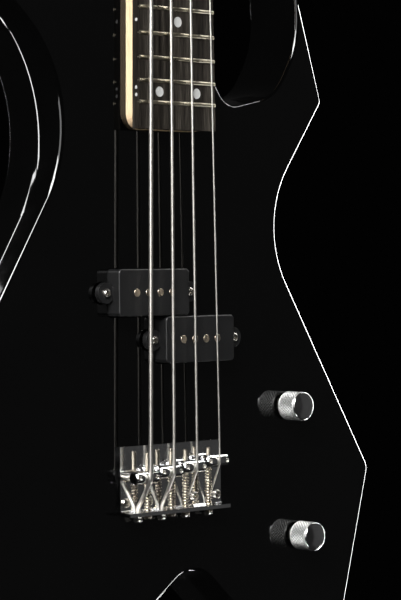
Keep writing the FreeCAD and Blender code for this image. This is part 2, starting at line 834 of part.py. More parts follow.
DOTS = [(ZERO, between_frets(number)) for number in SINGLE_DOTS]
for number in DOUBLE_DOTS:
    for sign in (-1, 1):
        DOTS.append((sign * D.double_dot_space / 2, between_frets(number)))
DOUBLE_DROP = D.board_radius * (1 - math.sqrt(1 - (D.double_dot_space.value / 2 / D.board_radius.value) ** 2))
sketch = sketch_on(board, "XZ", BOARD_TOP + D.fret_height)
for x, z in DOTS:
    circle(sketch, x, z, D.dot_diameter / 2 + D.running_gap)
pocket(board, sketch, D.fret_height + D.dot_thickness + DOUBLE_DROP)
dots = new_body("position_dots")
sketch = sketch_on(dots, "XZ", BOARD_TOP - D.dot_thickness - DOUBLE_DROP)
for x, z in DOTS:
    if x is ZERO:
        circle(sketch, x, z, D.dot_diameter / 2)
pad(dots, sketch, D.dot_thickness + DOUBLE_DROP)
sketch = sketch_on(dots, "XZ", BOARD_TOP - D.dot_thickness - DOUBLE_DROP)
for x, z in DOTS:
    if x is not ZERO:
        circle(sketch, x, z, D.dot_diameter / 2)
pad(dots, sketch, D.dot_thickness)
PIECES.append(dots)
side_marks = [between_frets(number) for number in SINGLE_DOTS]
for number in DOUBLE_DOTS:
    for sign in (-1, 1):
        side_marks.append(between_frets(number) + sign * D.side_dot_pair / 4)
side_holes = []
side_pins = []
side_level = D.neck_top + D.board_thickness - EDGE_DROP - D.side_dot_drop
for z in side_marks:
    edge = half_board(z.value)
    start = point(D.side_dot_depth.value - edge, side_level.value, z.value)
    heading = Vector(-1, 0, 0)
    radius = D.side_dot_diameter.value / 2
    side_holes.append(Part.makeCylinder(radius + D.running_gap.value, D.heel_width.value, start, heading))
    side_pins.append(Part.makeCylinder(radius, D.side_dot_depth.value, start, heading))
drill = keep("side_dot_drill", Part.makeCompound(side_holes))
fretboard = doc.addObject("Part::Cut", "fretboard")
fretboard.Label = "fretboard"
fretboard.Base = board
fretboard.Tool = drill
PIECES.append(fretboard)
PIECES.append(keep("side_dots", Part.makeCompound(side_pins)))

# Frets: crowns turned about the axis of the board's round top, trimmed to the board's taper
fret_blank = new_body("fret_blank")
sketch = sketch_on(fret_blank, "YZ")
axis_y = D.board_radius.value - BOARD_TOP.value
axis_line = Part.LineSegment(Vector(axis_y, 0, 0), Vector(axis_y, D.fret_width.value, 0))
sketch.addGeometry(axis_line, True)
base = -BOARD_TOP.value - D.running_gap.value / 2
for number in range(1, FRET_COUNT + 1):
    z = fret_z(number).value
    half = D.fret_width.value / 2
    tang = D.tang_width.value / 2
    foot = base + D.tang_depth.value
    spots = [
        Vector(base, z - half, 0),
        Vector(base, z - tang, 0),
        Vector(foot, z - tang, 0),
        Vector(foot, z + tang, 0),
        Vector(base, z + tang, 0),
        Vector(base, z + half, 0),
    ]
    for first, second in zip(spots, spots[1:]):
        sketch.addGeometry(Part.LineSegment(first, second), False)
    crown = Vector(base - D.fret_height.value, z, 0)
    sketch.addGeometry(Part.Arc(spots[-1], crown, spots[0]), False)
turn = fret_blank.newObject("PartDesign::Revolution", "fret_turn")
turn.Profile = sketch
turn.ReferenceAxis = (sketch, ["Axis0"])
turn.Angle = 2 * math.degrees(math.asin(D.heel_width.value / 2 / D.board_radius.value)) * 1.2
turn.Midplane = True
fret_trim = new_body("fret_trim")
sketch = sketch_on(fret_trim, "XZ", D.neck_top)
low = D.heel_width / 2 - D.fret_inset
high = D.nut_width / 2 - D.fret_inset
polygon(sketch, [(-low, BOARD_END), (low, BOARD_END), (high, ZERO), (-high, ZERO)])
pad(fret_trim, sketch, D.board_thickness + D.fret_height * 2)
frets = doc.addObject("Part::Common", "frets")
frets.Label = "frets"
frets.Base = fret_blank
frets.Tool = fret_trim
PIECES.append(frets)

# Nut
GAUGES = (D.string_gauge_e, D.string_gauge_a, D.string_gauge_d, D.string_gauge_g)
nut = new_body("nut")
sketch = sketch_on(nut, "XY")
rectangle(sketch, -D.nut_width / 2, D.nut_width / 2, -D.nut_underside - D.nut_rise, -D.neck_top)
pad(nut, sketch, D.nut_thickness)
sketch = sketch_on(nut, "XY", D.nut_thickness)
for share, gauge in zip(STRING_SHARES, GAUGES):
    x = share * D.nut_spacing
    half = gauge / 2 + D.running_gap
    rectangle(sketch, x - half, x + half, -D.nut_underside - D.nut_rise * 2, -D.nut_underside + D.running_gap)
pocket(nut, sketch, D.nut_thickness)
PIECES.append(nut)

# Truss rod: a bar under the board, a round shank under the nut and an adjusting nut in the head slot
truss = new_body("truss_rod")
sketch = sketch_on(truss, "XY", TRUSS_END + D.fit_gap)
half = D.truss_width / 2 - D.fit_gap
rectangle(sketch, -half, half, -TRUSS_FLOOR - D.truss_height, -TRUSS_FLOOR)
pad(truss, sketch, -TRUSS_END - D.nut_thickness - D.fit_gap * 2)
sketch = sketch_on(truss, "XY", -D.nut_thickness * 2)
circle(sketch, ZERO, D.truss_level, D.truss_rod_diameter / 2)
pad(truss, sketch, D.nut_thickness * 2 + D.truss_nut_row)
sketch = sketch_on(truss, "XY", D.truss_nut_row - D.fit_gap)
circle(sketch, ZERO, D.truss_level, D.truss_nut_diameter / 2)
pad(truss, sketch, D.truss_nut_length)
PIECES.append(truss)
truss_cover = new_body("truss_rod_cover")
sketch = sketch_on(truss_cover, "XZ", HEAD_FACE)
half = D.truss_cover_width.value / 2
low = TRUSS_COVER_FOOT.value
high = low + D.truss_cover_length.value
rounded(sketch, [
    (-half, low, half * 0.2),
    (half, low, half * 0.2),
    (half * 0.5, high, half * 0.3),
    (-half * 0.5, high, half * 0.3),
])
pad(truss_cover, sketch, D.truss_cover_thickness)
sketch = sketch_on(truss_cover, "XZ", HEAD_FACE + D.truss_cover_thickness)
circle(sketch, *TRUSS_COVER_SCREW, D.cover_screw_diameter / 2 + D.running_gap)
pocket(truss_cover, sketch, D.truss_cover_thickness)
PIECES.append(truss_cover)

# Neck plate and its screws
BACK = -D.body_thickness
neck_plate = new_body("neck_plate")
sketch = sketch_on(neck_plate, "XZ", BACK - D.neck_plate_thickness)
rounded(sketch, board_rectangle(ZERO, PLATE_ROW, D.neck_plate_width, D.neck_plate_length, D.neck_plate_rounding))
pad(neck_plate, sketch, D.neck_plate_thickness)
sketch = sketch_on(neck_plate, "XZ", BACK)
for x, z in NECK_SCREWS:
    circle(sketch, x, z, D.neck_screw_diameter / 2 + D.fit_gap)
pocket(neck_plate, sketch, D.neck_plate_thickness)
PIECES.append(neck_plate)


def back_screws(label: str, places: list, seat: Length, head: tuple, shank: tuple):
    """Screws driven from the back: a head behind the seat and a shank ahead of it."""
    head_diameter, head_height = head
    shank_diameter, shank_length = shank
    screws = new_body(label)
    sketch = sketch_on(screws, "XZ", seat - head_height)
    for x, z in places:
        circle(sketch, x, z, head_diameter / 2)
    pad(screws, sketch, head_height)
    sketch = sketch_on(screws, "XZ", seat)
    for x, z in places:
        circle(sketch, x, z, shank_diameter / 2)
    pad(screws, sketch, shank_length)
    return screws


def front_screws(label: str, places: list, seat: Length, head: tuple, shank: tuple):
    """Screws driven from the front: a head above the seat and a shank below it."""
    head_diameter, head_height = head
    shank_diameter, shank_length = shank
    screws = new_body(label)
    sketch = sketch_on(screws, "XZ", seat - shank_length)
    for x, z in places:
        circle(sketch, x, z, shank_diameter / 2)
    pad(screws, sketch, shank_length)
    sketch = sketch_on(screws, "XZ", seat)
    for x, z in places:
        circle(sketch, x, z, head_diameter / 2)
    pad(screws, sketch, head_height, taper=-28.0)
    return screws


PIECES.append(back_screws(
    "neck_screws",
    NECK_SCREWS,
    BACK - D.neck_plate_thickness,
    (D.neck_screw_head, D.neck_screw_head_height),
    (D.neck_screw_diameter, D.neck_screw_length),
))

# Bridge plate with its bent-up lip
REAR = SADDLE_LINE - D.plate_rear
FRONT = SADDLE_LINE + D.plate_front
ADJUSTERS = []
for share in STRING_SHARES:
    side = 1.0 if share > 0 else -1.0
    ADJUSTERS.append(share * D.bridge_spacing - side * D.adjuster_offset)
bridge = new_body("bridge_plate")
sketch = sketch_on(bridge, "YZ", -D.plate_width / 2)
inner = D.lip_bend.value
outer = inner + D.lip_thickness.value
rear = REAR.value
top = D.plate_thickness.value
spots = [
    Vector(0, FRONT.value, 0),
    Vector(0, rear + outer, 0),
    Vector(-outer, rear, 0),
    Vector(-D.lip_height.value, rear, 0),
    Vector(-D.lip_height.value, rear + D.lip_thickness.value, 0),
    Vector(-top - inner, rear + D.lip_thickness.value, 0),
    Vector(-top, rear + D.lip_thickness.value + inner, 0),
    Vector(-top, FRONT.value, 0),
]
bend = math.sqrt(0.5)
for index in range(8):
    start = spots[index]
    end = spots[(index + 1) % 8]
    if index == 1:
        middle = Vector(-outer + outer * bend, rear + outer - outer * bend, 0)
        sketch.addGeometry(Part.Arc(start, middle, end), False)
    elif index == 5:
        centre = Vector(-top - inner, rear + D.lip_thickness.value + inner, 0)
        middle = centre + Vector(inner * bend, -inner * bend, 0)
        sketch.addGeometry(Part.Arc(start, middle, end), False)
    else:
        sketch.addGeometry(Part.LineSegment(start, end), False)
pad(bridge, sketch, D.plate_width)
sketch = sketch_on(bridge, "XZ", D.plate_thickness)
for x, z in PLATE_SCREWS:
    circle(sketch, x, z, D.plate_screw_diameter / 2 + D.fit_gap)
pocket(bridge, sketch, D.plate_thickness)
sketch = sketch_on(bridge, "XY", REAR)
for x in ADJUSTERS:
    circle(sketch, x, -D.adjuster_height, D.adjuster_diameter / 2 + D.running_gap)
for share in STRING_SHARES:
    circle(sketch, share * D.bridge_spacing, -D.lip_string_height, D.string_gauge_e / 2 + D.fit_gap)
pocket(bridge, sketch, D.lip_thickness * 1.5, forward=True)
PIECES.append(bridge)
PIECES.append(front_screws(
    "bridge_screws",
    PLATE_SCREWS,
    D.plate_thickness,
    (D.plate_screw_head, D.plate_screw_head_height),
    (D.plate_screw_diameter, D.plate_screw_depth),
))

# Saddles, their height screws and the intonation screws
BACKS = (D.saddle_back_e, D.saddle_back_a, D.saddle_back_d, D.saddle_back_g)
BARREL_LEVEL = D.saddle_underside - D.running_gap - D.saddle_diameter / 2
for name, share, back, adjuster in zip(STRING_NAMES, STRING_SHARES, BACKS, ADJUSTERS):
    x = share * D.bridge_spacing
    z = SADDLE_LINE - back
    half = D.saddle_width / 2
    edge = D.saddle_rounding
    radius = D.saddle_diameter / 2
    saddle = turned(f"saddle_{name}", [
        (-half, ZERO),
        (half, ZERO),
        (half, radius - edge),
        (half - edge, radius),
        (-half + edge, radius),
        (-half, radius - edge),
    ], plane="XZ", axis="H_Axis")
    drop = BARREL_LEVEL - D.adjuster_height
    sketch = sketch_on(saddle, "XY", -D.saddle_diameter)
    circle(sketch, adjuster - x, drop, D.adjuster_diameter / 2 + D.running_gap)
    pocket(saddle, sketch, D.saddle_diameter * 2, forward=True)
    sketch = sketch_on(saddle, "XZ", -D.saddle_diameter)
    for sign in (-1, 1):
        circle(sketch, sign * D.height_screw_span / 2, ZERO, D.height_screw_diameter / 2 + D.running_gap)
    pocket(saddle, sketch, D.saddle_diameter * 2, forward=True)
    place(saddle, x, BARREL_LEVEL, z)
    PIECES.append(saddle)
    feet = new_body(f"height_screws_{name}")
    sketch = sketch_on(feet, "XZ", D.plate_thickness + D.running_gap)
    for sign in (-1, 1):
        circle(sketch, x + sign * D.height_screw_span / 2, z, D.height_screw_diameter / 2)
    pad(feet, sketch, D.height_screw_top - D.plate_thickness - D.running_gap)
    PIECES.append(feet)
    adjuster_screw = turned(f"intonation_screw_{name}", [
        (ZERO, -D.adjuster_head_length),
        (D.adjuster_head * 0.38, -D.adjuster_head_length),
        (D.adjuster_head / 2, -D.adjuster_head_length * 0.6),
        (D.adjuster_head / 2, -D.running_gap),
        (D.adjuster_diameter / 2, -D.running_gap),
        (D.adjuster_diameter / 2, D.plate_rear + D.adjuster_tip - D.running_gap * 4),
        (D.adjuster_diameter * 0.38, D.plate_rear + D.adjuster_tip),
        (ZERO, D.plate_rear + D.adjuster_tip),
    ], plane="XZ", axis="V_Axis")
    place(adjuster_screw, adjuster, D.adjuster_height, REAR)
    PIECES.append(adjuster_screw)


def arc_to(start: Vector, heading: Vector, end: Vector) -> Part.Edge:
    """Arc that leaves start along heading and arrives at end."""
    chord = end - start
    across = chord - heading * chord.dot(heading)
    if across.Length < 1e-9:
        return Part.LineSegment(start, end).toShape()
    across = across.normalize()
    radius = chord.dot(chord) / (2 * chord.dot(across))
    centre = start + across * radius
    middle = (start + end) * 0.5 - centre
    return Part.Arc(start, centre + middle.normalize() * radius, end).toShape()


def biarc(start: Vector, heading: Vector, end: Vector, leaving: Vector) -> list:
    """Two tangent arcs between two points with given headings."""
    chord = end - start
    total = heading + leaving
    spread = 2 * (1 - heading.dot(leaving))
    lean = chord.dot(total)
    reach = (-lean + math.sqrt(lean ** 2 + spread * chord.dot(chord))) / spread
    joint = (start + end + (heading - leaving) * reach) * 0.5
    second = arc_to(end, -leaving, joint)
    return [arc_to(start, heading, joint), second]


def coil_spots(centre: Vector, axis: Vector, first: Vector, radius: float, rise: float, turns: float) -> list:
    """Points and headings of a coil at every half turn, the last at the end of the turns."""
    side = axis.cross(first)
    spots = []
    steps = math.ceil(turns * 2)
    for step in range(steps + 1):
        turn = min(step / 2, turns)
        angle = 2 * math.pi * turn
        spoke = first * math.cos(angle) + side * math.sin(angle)
        tangent = (side * math.cos(angle) - first * math.sin(angle)) * (2 * math.pi * radius) + axis * rise
        spots.append((centre + spoke * radius + axis * (rise * turn), tangent.normalize()))
    return spots


def coil_edges(spots: list) -> list:
    """Edges through the spots of a coil."""
    edges = []
    for (start, heading), (end, leaving) in zip(spots, spots[1:]):
        edges += biarc(start, heading, end, leaving)
    return edges


def bent_edges(points: list, radii: list) -> list:
    """Straight runs between points with a tangent arc at each inner point."""
    edges = []
    cursor = points[0]
    for before, corner, after, radius in zip(points, points[1:], points[2:], radii):
        back = (before - corner).normalize()
        ahead = (after - corner).normalize()
        half = back.getAngle(ahead) / 2
        reach = radius / math.tan(half)
        middle = corner + (back + ahead).normalize() * (radius / math.sin(half) - radius)
        edges.append(Part.LineSegment(cursor, corner + back * reach).toShape())
        edges.append(Part.Arc(corner + back * reach, middle, corner + ahead * reach).toShape())
        cursor = corner + ahead * reach
    edges.append(Part.LineSegment(cursor, points[-1]).toShape())
    return edges


def tube(edges: list, start: Vector, heading: Vector, radius: float):
    """Round wire along a chain of edges."""
    ring = Part.Wire([Part.makeCircle(radius, start, heading)])
    return Part.Wire(edges).makePipeShell([ring], True, False)


def least_gap(edges: list, radius: float, apart: float) -> float:
    """Least clear space between runs of a wire that lie apart along it, measured on points."""
    spots = []
    run = 0.0
    for edge in edges:
        for spot in edge.discretize(6)[:-1]:
            spots.append((run, spot))
        run += edge.Length
    least = math.inf
    for index, (place_one, one) in enumerate(spots):
        for place_two, two in spots[index + 1:]:
            if place_two - place_one > apart:
                least = min(least, (one - two).Length)
    return least - 2 * radius


# Springs between the lip and the saddles
springs = []
for name, back, adjuster in zip(STRING_NAMES, BACKS, ADJUSTERS):
    wire = D.spring_wire.value / 2
    low = REAR.value + D.lip_thickness.value + wire + D.running_gap.value
    high = SADDLE_LINE.value - back.value - D.saddle_diameter.value / 2 - wire - D.running_gap.value
    turns = round((high - low) / D.spring_pitch.value * 2) / 2
    rise = (high - low) / turns
    spots = coil_spots(
        point(adjuster.value, D.adjuster_height.value, low),
        Vector(0, 0, 1),
        Vector(1, 0, 0),
        D.spring_radius.value,
        rise,
        turns,
    )
    edges = coil_edges(spots)
    print(f"spring_{name}: {turns} turns, least gap {least_gap(edges, wire, D.spring_radius.value * 4):.3f} mm")
    springs.append(tube(edges, spots[0][0], spots[0][1], wire))
PIECES.append(keep("intonation_springs", Part.makeCompound(springs)))

# Strings from the ball behind the lip, over the saddle and the nut, onto the post
for index, (name, share, back, gauge) in enumerate(zip(STRING_NAMES, STRING_SHARES, BACKS, GAUGES)):
    radius = gauge.value / 2
    x = share * D.bridge_spacing.value
    over = D.saddle_diameter.value / 2 + D.running_gap.value + radius
    barrel = (SADDLE_LINE.value - back.value, BARREL_LEVEL.value)
    ball = (REAR.value - D.ball_diameter.value / 2 - D.running_gap.value, D.lip_string_height.value)
    start = point(x, ball[1], ball[0] + D.ball_diameter.value / 2 + D.running_gap.value / 2)
    hole = (REAR.value + D.lip_thickness.value + D.lip_bend.value, ball[1])
    toward = math.atan2(barrel[1] - hole[1], barrel[0] - hole[0])
    distance = math.hypot(barrel[0] - hole[0], barrel[1] - hole[1])
    climb = toward + math.asin(over / distance)
    nut_spot = point(
        share * D.nut_spacing.value,
        D.nut_underside.value + radius,
        D.nut_thickness.value + D.running_gap.value,
    )
    level = barrel[1] + over
    reach = (level - hole[1]) / math.tan(climb)
    saddle_spot = point(x, level, hole[0] + reach)
    _, side, post_x, post_z = TUNERS[index]
    wrap = D.post_waist.value / 2 + radius + D.wrap_clearance.value
    rise = gauge.value + D.wrap_gap.value
    run_x = post_x.value - nut_spot.x
    run_z = post_z.value - nut_spot.z
    span = math.hypot(run_x, run_z)
    bearing = math.atan2(run_z, run_x) + side * math.asin(wrap / span)
    travel = math.sqrt(span ** 2 - wrap ** 2)
    heading = Vector(math.cos(bearing), 0, math.sin(bearing))
    slope = rise / (2 * math.pi * wrap)
    touch = Vector(nut_spot.x, -D.wrap_start.value, nut_spot.z) + heading * travel
    lead = touch - (heading + Vector(0, slope, 0)) * D.wrap_lead.value
    edges = bent_edges(
        [start, point(x, hole[1], hole[0]), saddle_spot, nut_spot, lead, touch],
        [D.lip_bend_string.value, over, D.nut_bend.value, D.lead_bend.value],
    )
    post_middle = Vector(post_x.value, -D.wrap_start.value, post_z.value)
    first = (touch - post_middle).normalize()
    spots = coil_spots(post_middle, Vector(0, 1, 0), first, wrap, rise, WRAP_TURNS)
    if side < 0:
        mirrored = []
        across = Vector(0, 1, 0).cross(first)
        for spot, tangent in spots:
            mirrored.append((
                spot - across * (2 * (spot - post_middle).dot(across)),
                tangent - across * (2 * tangent.dot(across)),
            ))
        spots = mirrored
    if spots[0][1].dot(heading) < 0:
        raise RuntimeError(f"string_{name} winds the wrong way")
    edges += coil_edges(spots)
    wound = tube(edges, start, Vector(0, 0, 1), radius)
    ball_start = point(x - D.ball_width.value / 2, ball[1], ball[0])
    end = Part.makeCylinder(D.ball_diameter.value / 2, D.ball_width.value, ball_start, Vector(1, 0, 0))
    PIECES.append(keep(f"string_{name}", Part.makeCompound([wound, end])))


def edges_at_height(body, height: float) -> list:
    """Names of the edges of a body's tip that lie level at a height above the face."""
    names = []
    for index, edge in enumerate(body.Shape.Edges, start=1):
        levels = [vertex.Point.y for vertex in edge.Vertexes]
        if all(abs(level + height) < D.running_gap.value / 100 for level in levels):
            names.append(f"Edge{index}")
    return names


# Split pickup: two halves, each a cover, a coil, four poles, two screws and a foam pad
POLE_SHARES = (-1.5, -0.5, 0.5, 1.5)
foams = []
for name, x, z in PICKUPS:
    ears = [(x + sign * D.ear_span / 2, z) for sign in (-1, 1)]
    poles = [(x + share * D.pole_spacing, z) for share in POLE_SHARES]
    cover = new_body(f"pickup_cover_{name}")
    sketch = sketch_on(cover, "XZ", -D.cover_depth)
    rounded(sketch, board_rectangle(x, z, D.cover_length, D.cover_breadth, D.cover_rounding))
    shell = pad(cover, sketch, D.cover_depth + D.cover_top)
    doc.recompute()
    edge_round = cover.newObject("PartDesign::Fillet", f"{cover.Name}_round")
    edge_round.Base = (shell, edges_at_height(cover, D.cover_top.value))
    edge_round.setExpression("Radius", D.cover_edge.text)
    sketch = sketch_on(cover, "XZ", D.ear_top - D.ear_thickness)
    for ear_x, ear_z in ears:
        circle(sketch, ear_x, ear_z, D.ear_radius)
    pad(cover, sketch, D.ear_thickness)
    sketch = sketch_on(cover, "XZ", -D.cover_depth)
    wall = D.cover_wall * 2
    rounded(sketch, board_rectangle(x, z, D.cover_length - wall, D.cover_breadth - wall, D.cover_wall))
    pocket(cover, sketch, D.cover_depth + D.cover_top - D.cover_wall, forward=True)
    sketch = sketch_on(cover, "XZ", D.cover_top)
    for pole_x, pole_z in poles:
        circle(sketch, pole_x, pole_z, D.pole_diameter / 2 + D.running_gap)
    pocket(cover, sketch, D.cover_wall * 2)
    sketch = sketch_on(cover, "XZ", D.ear_top)
    for ear_x, ear_z in ears:
        circle(sketch, ear_x, ear_z, D.pickup_screw_diameter / 2 + D.running_gap)
    pocket(cover, sketch, D.ear_thickness * 1.5)
    PIECES.append(cover)
    coil_top = D.cover_top - D.cover_wall
    coil_base = coil_top - D.coil_height
    coil = new_body(f"pickup_coil_{name}")
    sketch = sketch_on(coil, "XZ", coil_base)
    rounded(sketch, board_rectangle(x, z, D.coil_length, D.coil_breadth, D.coil_breadth * 0.45))
    pad(coil, sketch, D.coil_height)
    sketch = sketch_on(coil, "XZ", coil_top)
    for pole_x, pole_z in poles:
        circle(sketch, pole_x, pole_z, D.pole_diameter / 2 + D.running_gap)
    pocket(coil, sketch, D.coil_height)
    PIECES.append(coil)
    pole_pieces = new_body(f"pole_pieces_{name}")
    sketch = sketch_on(pole_pieces, "XZ", coil_base)
    for pole_x, pole_z in poles:
        circle(sketch, pole_x, pole_z, D.pole_diameter / 2)
    pad(pole_pieces, sketch, D.cover_top + D.pole_proud - coil_base)
    PIECES.append(pole_pieces)
    PIECES.append(front_screws(
        f"pickup_screws_{name}",
        ears,
        D.ear_top,
        (D.pickup_screw_head, D.pickup_screw_head_height),
        (D.pickup_screw_diameter, D.pickup_screw_depth),
    ))
    foam = new_body(f"foam_{name}")
    sketch = sketch_on(foam, "XZ", -D.pickup_cavity)
    rounded(sketch, board_rectangle(x, z, D.coil_length, D.coil_breadth, D.cover_rounding))
    pad(foam, sketch, D.pickup_cavity + coil_base)
    foams.append(foam)
PIECES.append(group("pickup_foam", foams))

# Controls: potentiometers, their nuts and the knobs
casings = []
nuts = []
for name, x, z in KNOBS:
    under = -D.top_wall
    casing = turned(f"pot_{name}", [
        (D.shaft_diameter / 2 + D.running_gap, -D.bushing_top),
        (D.bushing_diameter / 2, -D.bushing_top),
        (D.bushing_diameter / 2, -under),
        (D.pot_diameter / 2, -under),
        (D.pot_diameter / 2, -under + D.pot_depth),
        (ZERO, -under + D.pot_depth),
        (ZERO, -under + D.pot_depth * 0.8),
        (D.shaft_diameter / 2 + D.running_gap, -under + D.pot_depth * 0.8),
    ])
    place(casing, x, ZERO, z)
    casings.append(casing)
    washer = turned(f"washer_{name}", [
        (D.bushing_diameter / 2 + D.running_gap, ZERO),
        (D.washer_diameter / 2, ZERO),
        (D.washer_diameter / 2, -D.washer_thickness),
        (D.bushing_diameter / 2 + D.running_gap, -D.washer_thickness),
    ])
    place(washer, x, ZERO, z)
    nuts.append(washer)
    hexagon = new_body(f"nut_{name}")
    sketch = sketch_on(hexagon, "XZ", D.washer_thickness)
    corner = D.pot_nut_width / math.sqrt(3)
    polygon(sketch, [
        (corner * math.cos(math.radians(angle)) + x, corner * math.sin(math.radians(angle)) + z)
        for angle in (15, 75, 135, 195, 255, 315)
    ])
    pad(hexagon, sketch, D.pot_nut_thickness)
    sketch = sketch_on(hexagon, "XZ", D.washer_thickness + D.pot_nut_thickness)
    circle(sketch, x, z, D.bushing_diameter / 2 + D.running_gap)
    pocket(hexagon, sketch, D.pot_nut_thickness)
    nuts.append(hexagon)
    shaft = turned(f"pot_shaft_{name}", [
        (ZERO, -under + D.pot_depth * 0.8 - D.running_gap),
        (D.shaft_diameter / 2, -under + D.pot_depth * 0.8 - D.running_gap),
        (D.shaft_diameter / 2, -D.shaft_end),
        (ZERO, -D.shaft_end),
    ])
    place(shaft, x, ZERO, z)
    PIECES.append(shaft)
    rim = D.knob_diameter / 2
    bore = D.shaft_diameter / 2 + D.running_gap
    crown = D.knob_top - D.knob_rim
    dome = []
    for angle in range(0, 90, 10):
        lean = math.radians(angle)
        dome.append((rim * math.cos(lean), -D.knob_rim - crown * math.sin(lean)))
    knob = turned(f"knob_{name}", [
        (bore, -D.knob_recess),
        (rim - D.knob_wall, -D.knob_recess),
        (rim - D.knob_wall, -D.knob_base),
        (rim - D.knob_chamfer, -D.knob_base),
        (rim, -D.knob_base - D.knob_chamfer),
        *dome,
        (ZERO, -D.knob_top),
        (ZERO, -D.shaft_end - D.running_gap),
        (bore, -D.shaft_end - D.running_gap),
    ])
    place(knob, x, ZERO, z)
    PIECES.append(knob)
PIECES.append(group("pot_casings", casings))

# Output jack through the treble side wall
jack = turned("output_jack", [
    (D.jack_bore / 2, D.jack_flange_thickness),
    (D.jack_flange * 0.46, D.jack_flange_thickness),
    (D.jack_flange / 2, D.jack_flange_thickness * 0.6),
    (D.jack_flange / 2, D.running_gap),
    (D.jack_diameter / 2, D.running_gap),
    (D.jack_diameter / 2, -D.jack_length),
    (ZERO, -D.jack_length),
    (ZERO, D.jack_flange_thickness - D.jack_bore_depth),
    (D.jack_bore / 2, D.jack_flange_thickness - D.jack_bore_depth),
])
jack_turn = Rotation(Vector(0, 1, 0), JACK_OUT)
jack.Placement = Placement(JACK_SPOT, jack_turn)
PIECES.append(jack)
jack_nut = turned("jack_nut", [
    (D.jack_diameter / 2 + D.running_gap, -D.jack_length + D.jack_nut_thickness),
    (D.jack_diameter * 0.78, -D.jack_length + D.jack_nut_thickness),
    (D.jack_diameter * 0.78, -D.jack_length),
    (D.jack_diameter / 2 + D.running_gap, -D.jack_length),
])
jack_nut.Placement = Placement(JACK_SPOT, jack_turn)
nuts.append(jack_nut)
PIECES.append(group("control_nuts", nuts))

# Cover over the control cavity, set flush in the back
control_cover = new_body("control_cover")
sketch = sketch_on(control_cover, "XZ", BACK)
rounded(sketch, LID)
pad(control_cover, sketch, D.cover_plate)
sketch = sketch_on(control_cover, "XZ", BACK + D.cover_plate)
for x, z in COVER_SCREWS:
    circle(sketch, x, z, D.cover_screw_diameter / 2 + D.running_gap)
pocket(control_cover, sketch, D.cover_plate)
PIECES.append(control_cover)

# Strap buttons and the remaining small screws
buttons = []
small_screws = [
    back_screws(
        "lid_screws",
        COVER_SCREWS,
        BACK,
        (D.cover_screw_head, D.cover_screw_diameter / 2),
        (D.cover_screw_diameter, D.cover_screw_depth),
    ),
    front_screws(
        "head_screws",
        [TRUSS_COVER_SCREW],
        HEAD_FACE + D.truss_cover_thickness,
        (D.cover_screw_head, D.cover_screw_diameter / 2),
        (D.cover_screw_diameter, D.cover_screw_depth),
    ),
]
for index, (spot, outward) in enumerate(BUTTON_SPOTS):
    bore = D.button_screw_diameter / 2 + D.running_gap
    button = turned(f"button_{index}", [
        (bore, D.running_gap),
        (D.button_base / 2, D.running_gap),
        (D.button_base / 2, D.button_height * 0.16),
        (D.button_waist / 2, D.button_height * 0.34),
        (D.button_waist / 2, D.button_height * 0.62),
        (D.button_top / 2, D.button_height * 0.84),
        (D.button_top * 0.47, D.button_height),
        (bore, D.button_height),
    ])
    button.Placement = Placement(spot, Rotation(Vector(0, 1, 0), outward))
    buttons.append(button)
    screw = turned(f"button_screw_{index}", [
        (ZERO, D.button_height + D.button_screw_diameter * 0.4),
        (D.button_screw_diameter * 0.6, D.button_height + D.button_screw_diameter * 0.36),
        (D.button_screw_diameter * 0.9, D.button_height + D.running_gap),
        (D.button_screw_diameter / 2, D.button_height + D.running_gap),
        (D.button_screw_diameter / 2, D.running_gap * 2 - D.button_screw_length),
        (ZERO, D.running_gap * 2 - D.button_screw_length),
    ])
    screw.Placement = Placement(spot, Rotation(Vector(0, 1, 0), outward))
    small_screws.append(screw)
PIECES.append(group("strap_buttons", buttons))
PIECES.append(group("small_screws", small_screws))

